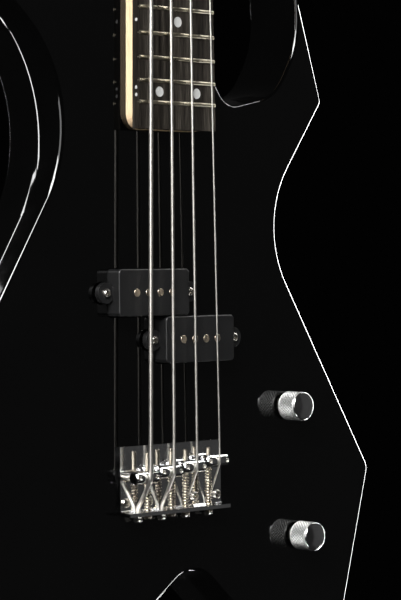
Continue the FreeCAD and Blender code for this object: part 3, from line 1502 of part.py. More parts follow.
# Tuners
housings = []
bushings = []
KEY_LEVEL = HEAD_BACK - D.housing_thickness / 2
for name, side, x, z in TUNERS:
    near = x - side * D.housing_inner
    far = near + side * D.housing_breadth
    low = near if side > 0 else far
    high = far if side > 0 else near
    key_z = z - D.key_offset
    housing = new_body(f"housing_{name}")
    sketch = sketch_on(housing, "XZ", HEAD_BACK - D.housing_thickness)
    rounded(sketch, board_rectangle(
        (low + high) / 2,
        z - D.housing_offset,
        D.housing_breadth,
        D.housing_length,
        D.housing_rounding,
    ))
    case = pad(housing, sketch, D.housing_thickness)
    doc.recompute()
    case_round = housing.newObject("PartDesign::Fillet", f"{housing.Name}_round")
    case_round.Base = (case, edges_at_height(housing, float(HEAD_BACK - D.housing_thickness)))
    case_round.setExpression("Radius", (D.housing_rounding * 0.7).text)
    sketch = sketch_on(housing, "XZ", HEAD_BACK)
    circle(sketch, x, z, D.post_diameter / 2 + D.running_gap)
    pocket(housing, sketch, D.housing_thickness - D.housing_floor)
    mouth = Vector(far.value, -KEY_LEVEL.value, key_z.value)
    cut_cylinder(
        housing,
        D.key_shaft / 2 + D.running_gap,
        D.key_reach + D.running_gap,
        mouth,
        Vector(-side, 0, 0),
    )
    housings.append(housing)
    bushing = turned(f"bushing_{name}", [
        (D.post_diameter / 2 + D.running_gap, -HEAD_BACK),
        (D.tuner_bushing / 2, -HEAD_BACK),
        (D.tuner_bushing / 2, -HEAD_FACE),
        (D.tuner_flange / 2, -HEAD_FACE),
        (D.tuner_flange * 0.46, -HEAD_FACE - D.tuner_flange_thickness),
        (D.post_diameter / 2 + D.running_gap, -HEAD_FACE - D.tuner_flange_thickness),
    ])
    place(bushing, x, ZERO, z)
    bushings.append(bushing)
    foot = HEAD_BACK - D.housing_thickness + D.housing_floor + D.running_gap
    neckline = D.post_top - D.post_flange
    post = turned(f"tuner_post_{name}", [
        (ZERO, -foot),
        (D.post_diameter / 2, -foot),
        (D.post_diameter / 2, -D.post_waist_base * 0.6),
        (D.post_waist / 2, -D.post_waist_base),
        (D.post_waist / 2, -neckline + D.post_flange * 0.4),
        (D.post_diameter / 2, -neckline),
        (D.post_diameter / 2, -D.post_top + D.post_flange * 0.25),
        (D.post_diameter * 0.44, -D.post_top),
        (ZERO, -D.post_top),
    ])
    sketch = sketch_on(post, "XZ", D.post_top)
    half = D.post_slot / 2
    rectangle(sketch, -half, half, -D.post_diameter, D.post_diameter)
    pocket(post, sketch, D.post_slot_depth)
    place(post, x, ZERO, z)
    PIECES.append(post)
    key = new_body(f"tuner_key_{name}")
    inner = far - side * D.key_reach
    outer = x + side * (D.key_gap + D.key_length / 2)
    start = inner if side > 0 else outer
    sketch = sketch_on(key, "YZ", start)
    circle(sketch, -KEY_LEVEL, key_z, D.key_shaft / 2)
    pad(key, sketch, (outer - inner) * float(side))
    sketch = sketch_on(key, "XZ", KEY_LEVEL - D.key_thickness / 2)
    rounded(sketch, board_rectangle(
        x + side * (D.key_gap + D.key_length / 2),
        key_z,
        D.key_length,
        D.key_breadth,
        D.key_rounding,
    ))
    pad(key, sketch, D.key_thickness)
    PIECES.append(key)
PIECES.append(group("tuner_housings", housings))
PIECES.append(group("tuner_bushings", bushings))

# Wiring in the cavities: leads of the pickups, pots, jack and bridge, and the tone capacitor
wire = D.wire_diameter.value / 2
pot_size = D.pot_diameter.value
pot_floor = D.top_wall.value + D.pot_depth.value
lay = pot_floor + D.wire_diameter.value
volume_spot = point(volume_x.value, -lay, volume_z.value)
tone_spot = point(tone_x.value, -lay, tone_z.value)
jack_end = JACK_SPOT - JACK_OUT * (D.jack_length.value + D.running_gap.value)
jack_level = -JACK_SPOT.y
runs = [
    [
        CHANNEL_START,
        CHANNEL_START + CHANNEL_RUN * 0.62,
        volume_spot + Vector(-pot_size * 0.3, 0, pot_size * 0.3),
        volume_spot,
    ],
    [
        volume_spot + Vector(0, D.wire_diameter.value, -pot_size * 0.1),
        volume_spot + Vector(pot_size * 0.1, D.wire_diameter.value, -pot_size),
        tone_spot + Vector(0, 0, pot_size * 0.7),
        tone_spot,
    ],
    [
        volume_spot + Vector(pot_size * 0.3, 0, -pot_size * 0.1),
        point(volume_spot.x + pot_size * 0.55, jack_level, volume_spot.z - pot_size),
        jack_end - JACK_OUT * D.jack_diameter.value,
        jack_end,
    ],
    [
        GROUND_START,
        GROUND_START + GROUND_RUN,
        tone_spot + Vector(-pot_size * 0.2, 0, 0),
    ],
]
leads = []
for spots in runs:
    edges = bent_edges(spots, [D.wire_diameter.value * 2.5] * (len(spots) - 2))
    leads.append(tube(edges, spots[0], (spots[1] - spots[0]).normalize(), wire))
leads.append(Part.makeCylinder(
    D.capacitor_diameter.value / 2,
    D.capacitor_thickness.value,
    point(tone_x.value, -pot_floor - D.running_gap.value, tone_z.value - pot_size * 0.28),
    Vector(0, 1, 0),
))
PIECES.append(keep("wiring", Part.makeCompound(leads)))

doc.recompute()
for item in doc.Objects:
    if "Invalid" in item.State or "Error" in item.State:
        raise RuntimeError(f"{item.Name} did not build: {item.State}")
for piece in PIECES:
    if piece.Shape.isNull() or not piece.Shape.isValid() or not piece.Shape.Solids:
        raise RuntimeError(f"{piece.Label} has no valid solid")
os.makedirs("parts", exist_ok=True)
for piece in PIECES:
    piece.Shape.exportStep(f"parts/{piece.Label}.step")
    print(f"{piece.Label}: {len(piece.Shape.Solids)} solid, {piece.Shape.Volume:.0f} mm3")
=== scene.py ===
"""Electric bass guitar: surfaces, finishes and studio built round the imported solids.

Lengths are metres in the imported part's frame: x from the bass side to the treble side, y from the
front to the back, z up along the neck. The origin lies at the nut, level with the body's face.
"""
import json
import logging
import math
from dataclasses import dataclass
from enum import Enum

import bmesh
import bpy
import numpy as np
from mathutils import Matrix, Quaternion, Vector

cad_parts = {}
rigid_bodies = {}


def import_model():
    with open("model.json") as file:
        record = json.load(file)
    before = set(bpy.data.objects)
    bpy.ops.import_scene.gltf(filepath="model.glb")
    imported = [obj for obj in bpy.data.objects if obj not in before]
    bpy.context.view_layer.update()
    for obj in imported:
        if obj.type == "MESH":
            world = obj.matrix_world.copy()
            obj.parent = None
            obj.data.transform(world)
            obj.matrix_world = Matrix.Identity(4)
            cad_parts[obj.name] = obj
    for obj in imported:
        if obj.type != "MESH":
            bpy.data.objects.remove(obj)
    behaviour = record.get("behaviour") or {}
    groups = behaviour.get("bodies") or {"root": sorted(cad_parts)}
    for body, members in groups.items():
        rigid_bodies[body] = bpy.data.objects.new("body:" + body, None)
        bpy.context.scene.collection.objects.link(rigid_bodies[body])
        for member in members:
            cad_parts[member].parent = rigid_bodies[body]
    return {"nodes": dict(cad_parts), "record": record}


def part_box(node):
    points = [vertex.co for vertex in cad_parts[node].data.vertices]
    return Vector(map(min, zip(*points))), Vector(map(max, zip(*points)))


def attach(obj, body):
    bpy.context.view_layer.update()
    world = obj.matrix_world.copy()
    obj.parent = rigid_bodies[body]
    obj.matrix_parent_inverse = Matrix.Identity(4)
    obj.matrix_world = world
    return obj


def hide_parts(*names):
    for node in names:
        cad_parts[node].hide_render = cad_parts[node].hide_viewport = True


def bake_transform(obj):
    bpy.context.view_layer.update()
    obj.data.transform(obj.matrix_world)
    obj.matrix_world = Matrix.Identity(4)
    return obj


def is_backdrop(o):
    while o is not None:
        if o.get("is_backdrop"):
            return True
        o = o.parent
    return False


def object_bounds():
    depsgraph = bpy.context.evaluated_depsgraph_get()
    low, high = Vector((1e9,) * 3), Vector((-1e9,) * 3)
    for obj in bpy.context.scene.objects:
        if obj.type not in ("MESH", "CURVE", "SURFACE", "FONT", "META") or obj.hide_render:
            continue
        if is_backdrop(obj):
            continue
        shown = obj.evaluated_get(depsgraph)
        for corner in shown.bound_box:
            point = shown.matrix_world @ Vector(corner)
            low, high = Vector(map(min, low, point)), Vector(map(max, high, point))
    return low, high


Material = bpy.types.Material
Piece = bpy.types.Object
Socket = bpy.types.NodeSocket
Tree = bpy.types.NodeTree
Work = bmesh.types.BMesh

LOG = logging.getLogger("bass_guitar")
MM = 0.001
ROOT = "guitar"
STRINGS = ("e", "a", "d", "g")
STRING_SHARES = {"e": -1.5, "a": -0.5, "d": 0.5, "g": 1.5}
GAUGES = {"e": 2.6 * MM, "a": 2.1 * MM, "d": 1.65 * MM, "g": 1.15 * MM}
HALVES = ("bass", "treble")
LIP = 2.2 * MM
GAP = 0.05 * MM
WELD = 2e-6
FLAT_ANGLE = math.radians(0.4)
SHARP_ANGLE = 50.0
ALONG_X = Matrix(((0, 0, 1), (1, 0, 0), (0, 1, 0)))
ALONG_Y = Matrix(((1, 0, 0), (0, 0, 1), (0, 1, 0)))
SOCKETS = {float: "NodeSocketFloat", int: "NodeSocketInt", tuple: "NodeSocketVector"}


class Facing(Enum):
    """The way that a screw's head faces."""

    FRONT = (0.0, -1.0, 0.0)
    BACK = (0.0, 1.0, 0.0)


class Graph:
    """A node tree with short ways to add and join nodes."""

    def __init__(self, tree: Tree) -> None:
        """Work on a tree."""
        self.tree = tree

    def add(self, kind: str, inputs: dict | None = None, **settings) -> bpy.types.Node:
        """Add a node.

        Args:
            kind: The node's type name.
            inputs: Values or sockets for its inputs, by name or index.
            settings: Values for its properties.

        Returns:
            The new node.
        """
        node = self.tree.nodes.new(kind)
        for name, value in settings.items():
            setattr(node, name, value)
        for name, value in (inputs or {}).items():
            if isinstance(value, Socket):
                self.tree.links.new(value, node.inputs[name])
            else:
                node.inputs[name].default_value = value
        return node

    def math(self, operation: str, first: float | Socket, second: float | Socket = 0.0) -> Socket:
        """Join two values or sockets by an operation of the Math node and give the result's socket."""
        return self.add("ShaderNodeMath", {0: first, 1: second}, operation=operation).outputs[0]

    def ramp(self, value: Socket, stops: tuple) -> Socket:
        """Turn a value into a colour.

        Args:
            value: The socket that is read.
            stops: Pairs of a place from 0 to 1 and a colour.

        Returns:
            The colour's socket.
        """
        node = self.add("ShaderNodeValToRGB", {"Fac": value})
        steps = node.color_ramp.elements
        while len(steps) < len(stops):
            steps.new(0.5)
        for step, (place, colour) in zip(steps, stops):
            step.position = place
            step.color = (*colour, 1.0)
        return node.outputs["Color"]


def group_tree(name: str, kind: str, inputs: dict, outputs: dict) -> tuple:
    """Start a node group with named sockets.

    Args:
        name: The group's name.
        kind: The tree's type name.
        inputs: Each input's default, or its socket type where it has none, by name.
        outputs: Socket types by name.

    Returns:
        The tree's graph, its input node and its output node.
    """
    tree = bpy.data.node_groups.new(name, kind)
    for label, given in inputs.items():
        socket = SOCKETS.get(type(given), given)
        item = tree.interface.new_socket(label, in_out="INPUT", socket_type=socket)
        if type(given) in SOCKETS:
            item.default_value = given
    for label, socket in outputs.items():
        tree.interface.new_socket(label, in_out="OUTPUT", socket_type=socket)
    graph = Graph(tree)
    return graph, graph.add("NodeGroupInput"), graph.add("NodeGroupOutput")


class Effects:
    """Shader groups that several finishes share."""

    def __init__(self) -> None:
        """Make the groups."""
        self.handling = self._handling()
        self.skin = self._skin()
        self.timber = self._timber()

    @staticmethod
    def _handling() -> Tree:
        """Make the group that varies a roughness as handling and polishing cloths do.

        Returns:
            The group's tree.
        """
        graph, source, result = group_tree(
            "handling_marks", "ShaderNodeTree", {"Scale": 60.0, "Low": 0.1, "High": 0.2},
            {"Roughness": "NodeSocketFloat"})
        place = graph.add("ShaderNodeTexCoord").outputs["Object"]
        cloud = graph.add("ShaderNodeTexNoise", {
            "Vector": place, "Scale": source.outputs["Scale"], "Detail": 5.0, "Roughness": 0.65})
        spread = graph.add("ShaderNodeMapRange", {
            "Value": cloud.outputs["Fac"], "From Min": 0.35, "From Max": 0.65,
            "To Min": source.outputs["Low"], "To Max": source.outputs["High"]})
        graph.tree.links.new(spread.outputs["Result"], result.inputs["Roughness"])
        return graph.tree

    @staticmethod
    def _skin() -> Tree:
        """Make the group for the fine relief of sprayed, moulded and cast skins.

        Returns:
            The group's tree.
        """
        graph, source, result = group_tree(
            "surface_skin", "ShaderNodeTree", {"Scale": 400.0, "Pull": (1.0, 1.0, 1.0)},
            {"Height": "NodeSocketFloat"})
        place = graph.add("ShaderNodeTexCoord").outputs["Object"]
        drawn = graph.add("ShaderNodeVectorMath", {0: place, 1: source.outputs["Pull"]},
                          operation="MULTIPLY")
        fine = graph.add("ShaderNodeTexNoise", {
            "Vector": drawn.outputs["Vector"], "Scale": source.outputs["Scale"], "Detail": 3.0})
        graph.tree.links.new(fine.outputs["Fac"], result.inputs["Height"])
        return graph.tree

    @staticmethod
    def _timber() -> Tree:
        """Make the group for wood: long figure, fine fibres and open pores along z.

        Returns:
            The group's tree.
        """
        graph, source, result = group_tree(
            "timber_grain", "ShaderNodeTree", {"Figure Scale": 90.0, "Fibre Scale": 900.0, "Run": 0.06},
            dict.fromkeys(("Figure", "Fibre", "Pore"), "NodeSocketFloat"))
        place = graph.add("ShaderNodeTexCoord").outputs["Object"]
        stretch = graph.add("ShaderNodeCombineXYZ", {"X": 1.0, "Y": 1.0, "Z": source.outputs["Run"]})
        drawn = graph.add("ShaderNodeVectorMath", {0: place, 1: stretch.outputs["Vector"]},
                          operation="MULTIPLY").outputs["Vector"]
        figure = graph.add("ShaderNodeTexNoise", {
            "Vector": drawn, "Scale": source.outputs["Figure Scale"], "Detail": 4.0,
            "Roughness": 0.55, "Distortion": 0.6})
        fibre = graph.add("ShaderNodeTexNoise", {
            "Vector": drawn, "Scale": source.outputs["Fibre Scale"], "Detail": 2.0})
        pore = graph.add("ShaderNodeTexVoronoi", {
            "Vector": drawn, "Scale": source.outputs["Fibre Scale"]})
        deep = graph.add("ShaderNodeMapRange", {
            "Value": pore.outputs["Distance"], "From Min": 0.05, "From Max": 0.35})
        graph.tree.links.new(figure.outputs["Fac"], result.inputs["Figure"])
        graph.tree.links.new(fibre.outputs["Fac"], result.inputs["Fibre"])
        graph.tree.links.new(deep.outputs["Result"], result.inputs["Pore"])
        return graph.tree


class Bench:
    """Starts a material and places the shared effects in it."""

    def __init__(self, name: str, effects: Effects) -> None:
        """Start a material.

        Args:
            name: The material's name.
            effects: The shared shader groups.
        """
        self.material = bpy.data.materials.new(name)
        self.material.use_nodes = True
        self.graph = Graph(self.material.node_tree)
        self.effects = effects
        self.shader = self.material.node_tree.nodes["Principled BSDF"]

    def set(self, **values) -> None:
        """Set or feed the shader's sockets.

        Args:
            values: Values or sockets, named with underscores for spaces.
        """
        for name, value in values.items():
            socket = self.shader.inputs[name.replace("_", " ")]
            if isinstance(value, Socket):
                self.graph.tree.links.new(value, socket)
            else:
                socket.default_value = value

    def effect(self, tree: Tree, inputs: dict) -> bpy.types.Node:
        """Place a shared effect with this finish's own values.

        Args:
            tree: The effect's group.
            inputs: Values for its inputs by name.

        Returns:
            The effect's node.
        """
        node = self.graph.add("ShaderNodeGroup", node_tree=tree)
        for name, value in inputs.items():
            node.inputs[name].default_value = value
        return node

    def handled(self, scale: float, low: float, high: float) -> None:
        """Feed the roughness from the handling effect, between a low and a high value."""
        marks = self.effect(self.effects.handling, {"Scale": scale, "Low": low, "High": high})
        self.set(Roughness=marks.outputs["Roughness"])

    def relief(self, height: Socket, depth: float, strength: float = 1.0) -> None:
        """Feed the normal from a height of 0 to 1 that stands for a depth in metres."""
        bump = self.graph.add("ShaderNodeBump", {"Height": height, "Distance": depth, "Strength": strength})
        self.set(Normal=bump.outputs["Normal"])

    def cloudy(self, scale: float, share: float, colour: tuple, stops: tuple) -> None:
        """Feed the base colour from clouds of a colour and a duller tone of it.

        Args:
            scale: The clouds' scale.
            share: How bright the duller tone is beside the colour.
            colour: The colour.
            stops: Where the duller tone ends and where the colour begins.
        """
        cloud = self.effect(self.effects.skin, {"Scale": scale})
        dull = tuple(part * share for part in colour)
        self.set(Base_Color=self.graph.ramp(cloud.outputs["Height"], tuple(zip(stops, (dull, colour)))))


@dataclass(frozen=True)
class Look:
    """What every finish has: a name and a way to make its material."""

    name: str

    def material(self, effects: Effects) -> Material:
        """Make the material.

        Args:
            effects: The shared shader groups.

        Returns:
            The material.
        """
        bench = Bench(self.name, effects)
        self.paint(bench)
        return bench.material

    def paint(self, bench: Bench) -> None:
        """Set the material on the bench, in each finish's own way."""
        raise NotImplementedError


@dataclass(frozen=True)
class Surface(Look):
    """A finish with clouds in its tone, marks of handling and a fine relief."""

    colour: tuple
    low: float
    high: float
    grain: float = 1800.0
    depth: float = 6e-6
    variation: float = 0.8
    clouds: float = 55.0
    stops: tuple = (0.35, 0.65)
    marks: float = 90.0
    metallic: float = 0.0
    pull: tuple = (1.0, 1.0, 1.0)

    def paint(self, bench: Bench) -> None:
        """Set clouds, marks and relief.

        Args:
            bench: The bench with the material.
        """
        bench.set(Metallic=self.metallic)
        bench.cloudy(self.clouds, self.variation, self.colour, self.stops)
        bench.handled(self.marks, self.low, self.high)
        skin = bench.effect(bench.effects.skin, {"Scale": self.grain, "Pull": self.pull})
        bench.relief(skin.outputs["Height"], self.depth)


class Plastic(Surface):
    """Moulded plastic, bone, braid or foam."""


@dataclass(frozen=True)
class Lacquer(Surface):
    """Sprayed and polished colour over wood."""

    grain: float = 220.0
    depth: float = 2e-6
    variation: float = 0.7
    clouds: float = 18.0
    stops: tuple = (0.3, 0.7)
    marks: float = 45.0


@dataclass(frozen=True)
class Metal(Surface):
    """Plated or bare metal, polished or drawn out along an axis."""

    grain: float = 2500.0
    depth: float = 1.5e-6
    variation: float = 0.86
    clouds: float = 70.0
    stops: tuple = (0.35, 0.62)
    marks: float = 140.0
    metallic: float = 1.0


@dataclass(frozen=True)
class Timber(Look):
    """Bare or thinly sealed wood with its grain along the neck."""

    tones: tuple
    figure: float
    fibre: float
    run: float
    low: float
    high: float
    pore_depth: float
    gloss: float = 0.5
    figure_share: float = 0.62
    stops: tuple = (0.34, 0.5, 0.66)
    marks: float = 120.0
    pore_strength: float = 0.8

    def paint(self, bench: Bench) -> None:
        """Set the figure, the fibres and the pores.

        Args:
            bench: The bench with the material.
        """
        bench.set(Specular_IOR_Level=self.gloss)
        grain = bench.effect(bench.effects.timber, {
            "Figure Scale": self.figure, "Fibre Scale": self.fibre, "Run": self.run})
        body = bench.graph.math("MULTIPLY", grain.outputs["Figure"], self.figure_share)
        fibre = bench.graph.math("MULTIPLY", grain.outputs["Fibre"], 1.0 - self.figure_share)
        mixed = bench.graph.math("ADD", body, fibre)
        bench.set(Base_Color=bench.graph.ramp(mixed, tuple(zip(self.stops, self.tones))))
        bench.handled(self.marks, self.low, self.high)
        bench.relief(grain.outputs["Pore"], self.pore_depth, self.pore_strength)


@dataclass(frozen=True)
class Knurl(Look):
    """Plated metal cut with grooves as deep as the piece's hollow attribute says, darkened with grime and
    painted shade.
    """

    colour: tuple
    grime_and_groove_shade: tuple
    low: float
    high: float
    stops: tuple = (0.40, 0.85)
    marks: float = 140.0

    def paint(self, bench: Bench) -> None:
        """Set bright ridges and grooves darkened with grime and painted shade.

        Args:
            bench: The bench with the material.
        """
        hollow = bench.graph.add("ShaderNodeAttribute", attribute_name="hollow").outputs["Fac"]
        # the grooves' colour is painted shade with some grime, darkest where the hollow is deepest
        tones = tuple(zip(self.stops, (self.colour, self.grime_and_groove_shade)))
        bench.set(Metallic=1.0, Base_Color=bench.graph.ramp(hollow, tones))
        bench.handled(self.marks, self.low, self.high)


@dataclass(frozen=True)
class Winding(Look):
    """Wire wound round a core, with its turns counted along the piece's own length."""

    colour: tuple
    pitch: float
    low: float
    high: float
    depth: float
    groove_shade_share: float = 0.8
    stops: tuple = (0.0, 0.55)
    marks: float = 300.0
    strength: float = 0.6

    def paint(self, bench: Bench) -> None:
        """Set the ridge of every turn.

        Args:
            Set the ridge of every turn, with painted shade in the groove between turns.
        """
        along = bench.graph.add("ShaderNodeAttribute", attribute_name="along").outputs["Fac"]
        half_turns = bench.graph.math("MULTIPLY", along, math.pi / self.pitch)
        ridge = bench.graph.math("ABSOLUTE", bench.graph.math("SINE", half_turns))
        # the groove between turns is painted darker as shade
        groove = tuple(part * self.groove_shade_share for part in self.colour)
        tones = tuple(zip(self.stops, (groove, self.colour)))
        bench.set(Metallic=1.0, Base_Color=bench.graph.ramp(ridge, tones))
        bench.handled(self.marks, self.low, self.high)
        bench.relief(ridge, self.depth, self.strength)


class Finish(Enum):
    """Every finish on the instrument."""

    BLACK_LACQUER = Lacquer("black_lacquer", (0.0006, 0.0006, 0.0006), 0.03, 0.07)
    MAPLE = Timber("maple", ((0.54, 0.37, 0.21), (0.68, 0.50, 0.31), (0.75, 0.58, 0.38)),
                   60.0, 1500.0, 0.05, 0.32, 0.46, 8e-6)
    ROSEWOOD = Timber("rosewood", ((0.003, 0.0024, 0.002), (0.016, 0.0138, 0.0112), (0.062, 0.054, 0.045)),
                      150.0, 1900.0, 0.035, 0.45, 0.62, 4e-5, 0.05)
    FRET_NICKEL = Metal("fret_nickel", (0.54, 0.49, 0.38), 0.26, 0.38)
    PEARL = Plastic("pearl_inlay", (0.40, 0.40, 0.39), 0.18, 0.30, 700.0, 3e-6, 0.82)
    BONE = Plastic("bone_nut", (0.74, 0.70, 0.58), 0.35, 0.48, 900.0, 8e-6, 0.88)
    CHROME = Metal("chrome", (0.80, 0.80, 0.80), 0.05, 0.13)
    STEEL = Metal("screw_steel", (0.62, 0.59, 0.54), 0.20, 0.34)
    # darker than the screws' pale bronze, as painted shade between the springs' turns
    SCREW_BRONZE_PAINTED_SHADE = Metal("screw_bronze", (0.30, 0.27, 0.22), 0.26, 0.38)
    SPRING_BRONZE = Metal("spring_bronze", (0.80, 0.73, 0.60), 0.20, 0.30)
    POLE_NICKEL = Metal("pole_nickel", (0.64, 0.55, 0.44), 0.24, 0.38)
    BALL_NICKEL = Metal("ball_nickel", (0.78, 0.75, 0.70), 0.16, 0.28)
    # the dark second colour is painted shade and grime in the knurl grooves
    KNURLED_CHROME = Knurl("knurled_chrome", (0.84, 0.84, 0.83), (0.03, 0.03, 0.03), 0.42, 0.52)
    DOMED_CHROME = Metal("domed_chrome", (0.80, 0.80, 0.80), 0.15, 0.22)
    WOUND_NICKEL = Winding("wound_nickel", (0.66, 0.63, 0.58), 0.42 * MM, 0.30, 0.40, 1.2e-5)
    COPPER = Metal("coil_copper", (0.62, 0.27, 0.13), 0.28, 0.42, depth=8e-6, marks=160.0,
                   pull=(0.02, 1.0, 1.0))
    COVER_PLASTIC = Plastic("cover_plastic", (0.0065, 0.0065, 0.0067), 0.34, 0.46)
    FOAM = Plastic("grey_foam", (0.055, 0.055, 0.06), 0.85, 0.95, 900.0, 2e-4, 0.7)
    BRAID = Plastic("lead_braid", (0.46, 0.43, 0.34), 0.6, 0.75, 1600.0, 4e-5)


class Palette:
    """Makes each finish once."""

    def __init__(self) -> None:
        """Start with no finish made."""
        self.effects = Effects()
        self.made = {}

    def get(self, finish: Finish) -> Material:
        """Give a finish's material.

        Args:
            finish: The finish.

        Returns:
            Its material, made the first time it is asked for.
        """
        if finish not in self.made:
            self.made[finish] = finish.value.material(self.effects)
        return self.made[finish]


def place_mesh(name: str, mesh: bpy.types.Mesh) -> Piece:
    """Add a mesh to the scene as a smooth object at the origin.

    Args:
        name: The object's name.
        mesh: The mesh.

    Returns:
        The object.
    """
    mesh.shade_smooth()
    piece = bpy.data.objects.new(name, mesh)
    bpy.context.scene.collection.objects.link(piece)
    return piece


def new_object(name: str, vertices: list, faces: list, edges: list | tuple = ()) -> Piece:
    """Add an object with given points.

    Args:
        name: The object's name.
        vertices: Points in the part's frame.
        faces: Tuples of point numbers.
        edges: Pairs of point numbers for a path.

    Returns:
        The object, linked to the scene.
    """
    mesh = bpy.data.meshes.new(name)
    mesh.from_pydata([tuple(spot) for spot in vertices], list(edges), faces)
    return place_mesh(name, mesh)


def from_work(name: str, work: Work, sharp: float | None = None) -> Piece:
    """Add an object made from a work mesh.

    Args:
        name: The object's name.
        work: The work mesh, which is freed.
        sharp: Edges that turn by more degrees than this stay sharp.

    Returns:
        The object, linked to the scene.
    """
    mesh = bpy.data.meshes.new(name)
    work.to_mesh(mesh)
    work.free()
    piece = place_mesh(name, mesh)
    if sharp is not None:
        mesh.set_sharp_from_angle(angle=math.radians(sharp))
    return piece


def modify(piece: Piece, kind: str, **settings) -> None:
    """Add a modifier.

    Args:
        piece: The piece.
        kind: The modifier's type name.
        settings: Values for its properties.
    """
    modifier = piece.modifiers.new(kind.lower(), kind)
    for name, value in settings.items():
        setattr(modifier, name, value)


def settle(piece: Piece) -> Piece:
    """Turn a piece's modifiers into its plain mesh.

    Args:
        piece: The piece.

    Returns:
        The same piece.
    """
    depsgraph = bpy.context.evaluated_depsgraph_get()
    result = bpy.data.meshes.new_from_object(
        piece.evaluated_get(depsgraph), preserve_all_data_layers=True, depsgraph=depsgraph)
    piece.modifiers.clear()
    piece.data = result
    return piece


def ring_angles(count: int) -> list:
    """Spread angles evenly round a turn."""
    return [math.tau * step / count for step in range(count)]


def weave(work: Work, rings: list) -> None:
    """Join each ring of points to the next by faces.

    Args:
        work: The work mesh.
        rings: Rings of its points, the same count in each.
    """
    for low, high in zip(rings, rings[1:]):
        for side in range(len(low)):
            work.faces.new((low[side - 1], low[side], high[side], high[side - 1]))


def stack(name: str, rings: list, sharp: float = SHARP_ANGLE) -> Piece:
    """Close a stack of rings into a solid.

    Args:
        name: The piece's name.
        rings: Rings of places, the same count in each.
        sharp: Edges that turn by more degrees than this stay sharp.

    Returns:
        The piece, with its faces turned outwards.
    """
    work = bmesh.new()
    rows = [[work.verts.new(spot) for spot in ring] for ring in rings]
    weave(work, rows)
    work.faces.new(rows[0][::-1])
    work.faces.new(rows[-1])
    bmesh.ops.remove_doubles(work, verts=work.verts, dist=WELD)
    bmesh.ops.recalc_face_normals(work, faces=work.faces)
    return from_work(name, work, sharp)


def lathe(name: str, foot: Vector, frame: Matrix, rows: list, columns: int,
          sharp: float = SHARP_ANGLE) -> Piece:
    """Turn a solid round an axis.

    Args:
        name: The piece's name.
        foot: Where its axis starts.
        frame: Two directions across the axis and the axis itself, as columns.
        rows: Each ring's place along the axis, and its radius or its radius at each angle.
        columns: Points round each ring.
        sharp: Edges that turn by more degrees than this stay sharp.

    Returns:
        The piece.
    """
    angles = np.array(ring_angles(columns))
    rings = []
    for place, radius in rows:
        spots = np.column_stack((radius * np.cos(angles), radius * np.sin(angles), np.full(columns, place)))
        rings.append(np.array(foot) + spots @ np.array(frame).T)
    return stack(name, rings, sharp)


class Stock:
    """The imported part: its nodes, the body that carries each one and each one's slot."""

    def __init__(self, palette: Palette) -> None:
        """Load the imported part.

        Args:
            palette: Makes the finishes.
        """
        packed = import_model()
        self.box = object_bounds()
        record = packed["record"]
        self.palette = palette
        self.nodes = packed["nodes"]
        self.slot_of = {row["node"]: row["material_slot"] for row in record["subparts"]}
        self.body_of = {}
        for body, nodes in record["behaviour"]["bodies"].items():
            self.body_of.update(dict.fromkeys(nodes, body))

    def dress(self, piece: Piece, finish: Finish, node: str, ride: bool = True) -> None:
        """Give a piece its finish and let it stand for a node.

        Args:
            piece: The finished piece.
            finish: What it is made of.
            node: The node that it stands for.
            ride: Whether it moves as one with the node's body.
        """
        piece.data.materials.clear()
        piece.data.materials.append(self.palette.get(finish))
        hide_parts(node)
        if ride:
            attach(piece, self.body_of[node])
        LOG.info("%s stands for %s", piece.name, node)

    def merged(self, node: str) -> Work:
        """Copy a node's loose triangles as one mesh of flat faces.

        Args:
            node: The node.

        Returns:
            The work mesh.
        """
        source = self.nodes[node].data
        work = bmesh.new()
        spots = [work.verts.new(vertex.co) for vertex in source.vertices]
        for face in source.polygons:
            work.faces.new([spots[index] for index in face.vertices])
        bmesh.ops.remove_doubles(work, verts=work.verts, dist=WELD)
        bmesh.ops.dissolve_limit(work, angle_limit=FLAT_ANGLE, verts=work.verts, edges=work.edges)
        return work

    def skin(self, node: str, finish: Finish, rounding: float, limit: float = 32.0, steps: int = 2) -> None:
        """Stand a copy of a node with eased edges in its place.

        Args:
            node: The node.
            finish: What it is made of.
            rounding: Width of the eased edges.
            limit: Edges that turn by more degrees than this are eased.
            steps: Faces across an eased edge.
        """
        piece = from_work(f"{node}_skin", self.merged(node))
        modify(piece, "BEVEL", width=rounding, segments=steps, limit_method="ANGLE",
               angle_limit=math.radians(limit), use_clamp_overlap=True)
        modify(piece, "WEIGHTED_NORMAL", keep_sharp=True)
        self.dress(settle(piece), finish, node)

    def skins(self, rows: tuple) -> None:
        """Stand eased copies of nodes in their place, by rows of node, finish and rounding."""
        for node, finish, rounding in rows:
            self.skin(node, finish, rounding)


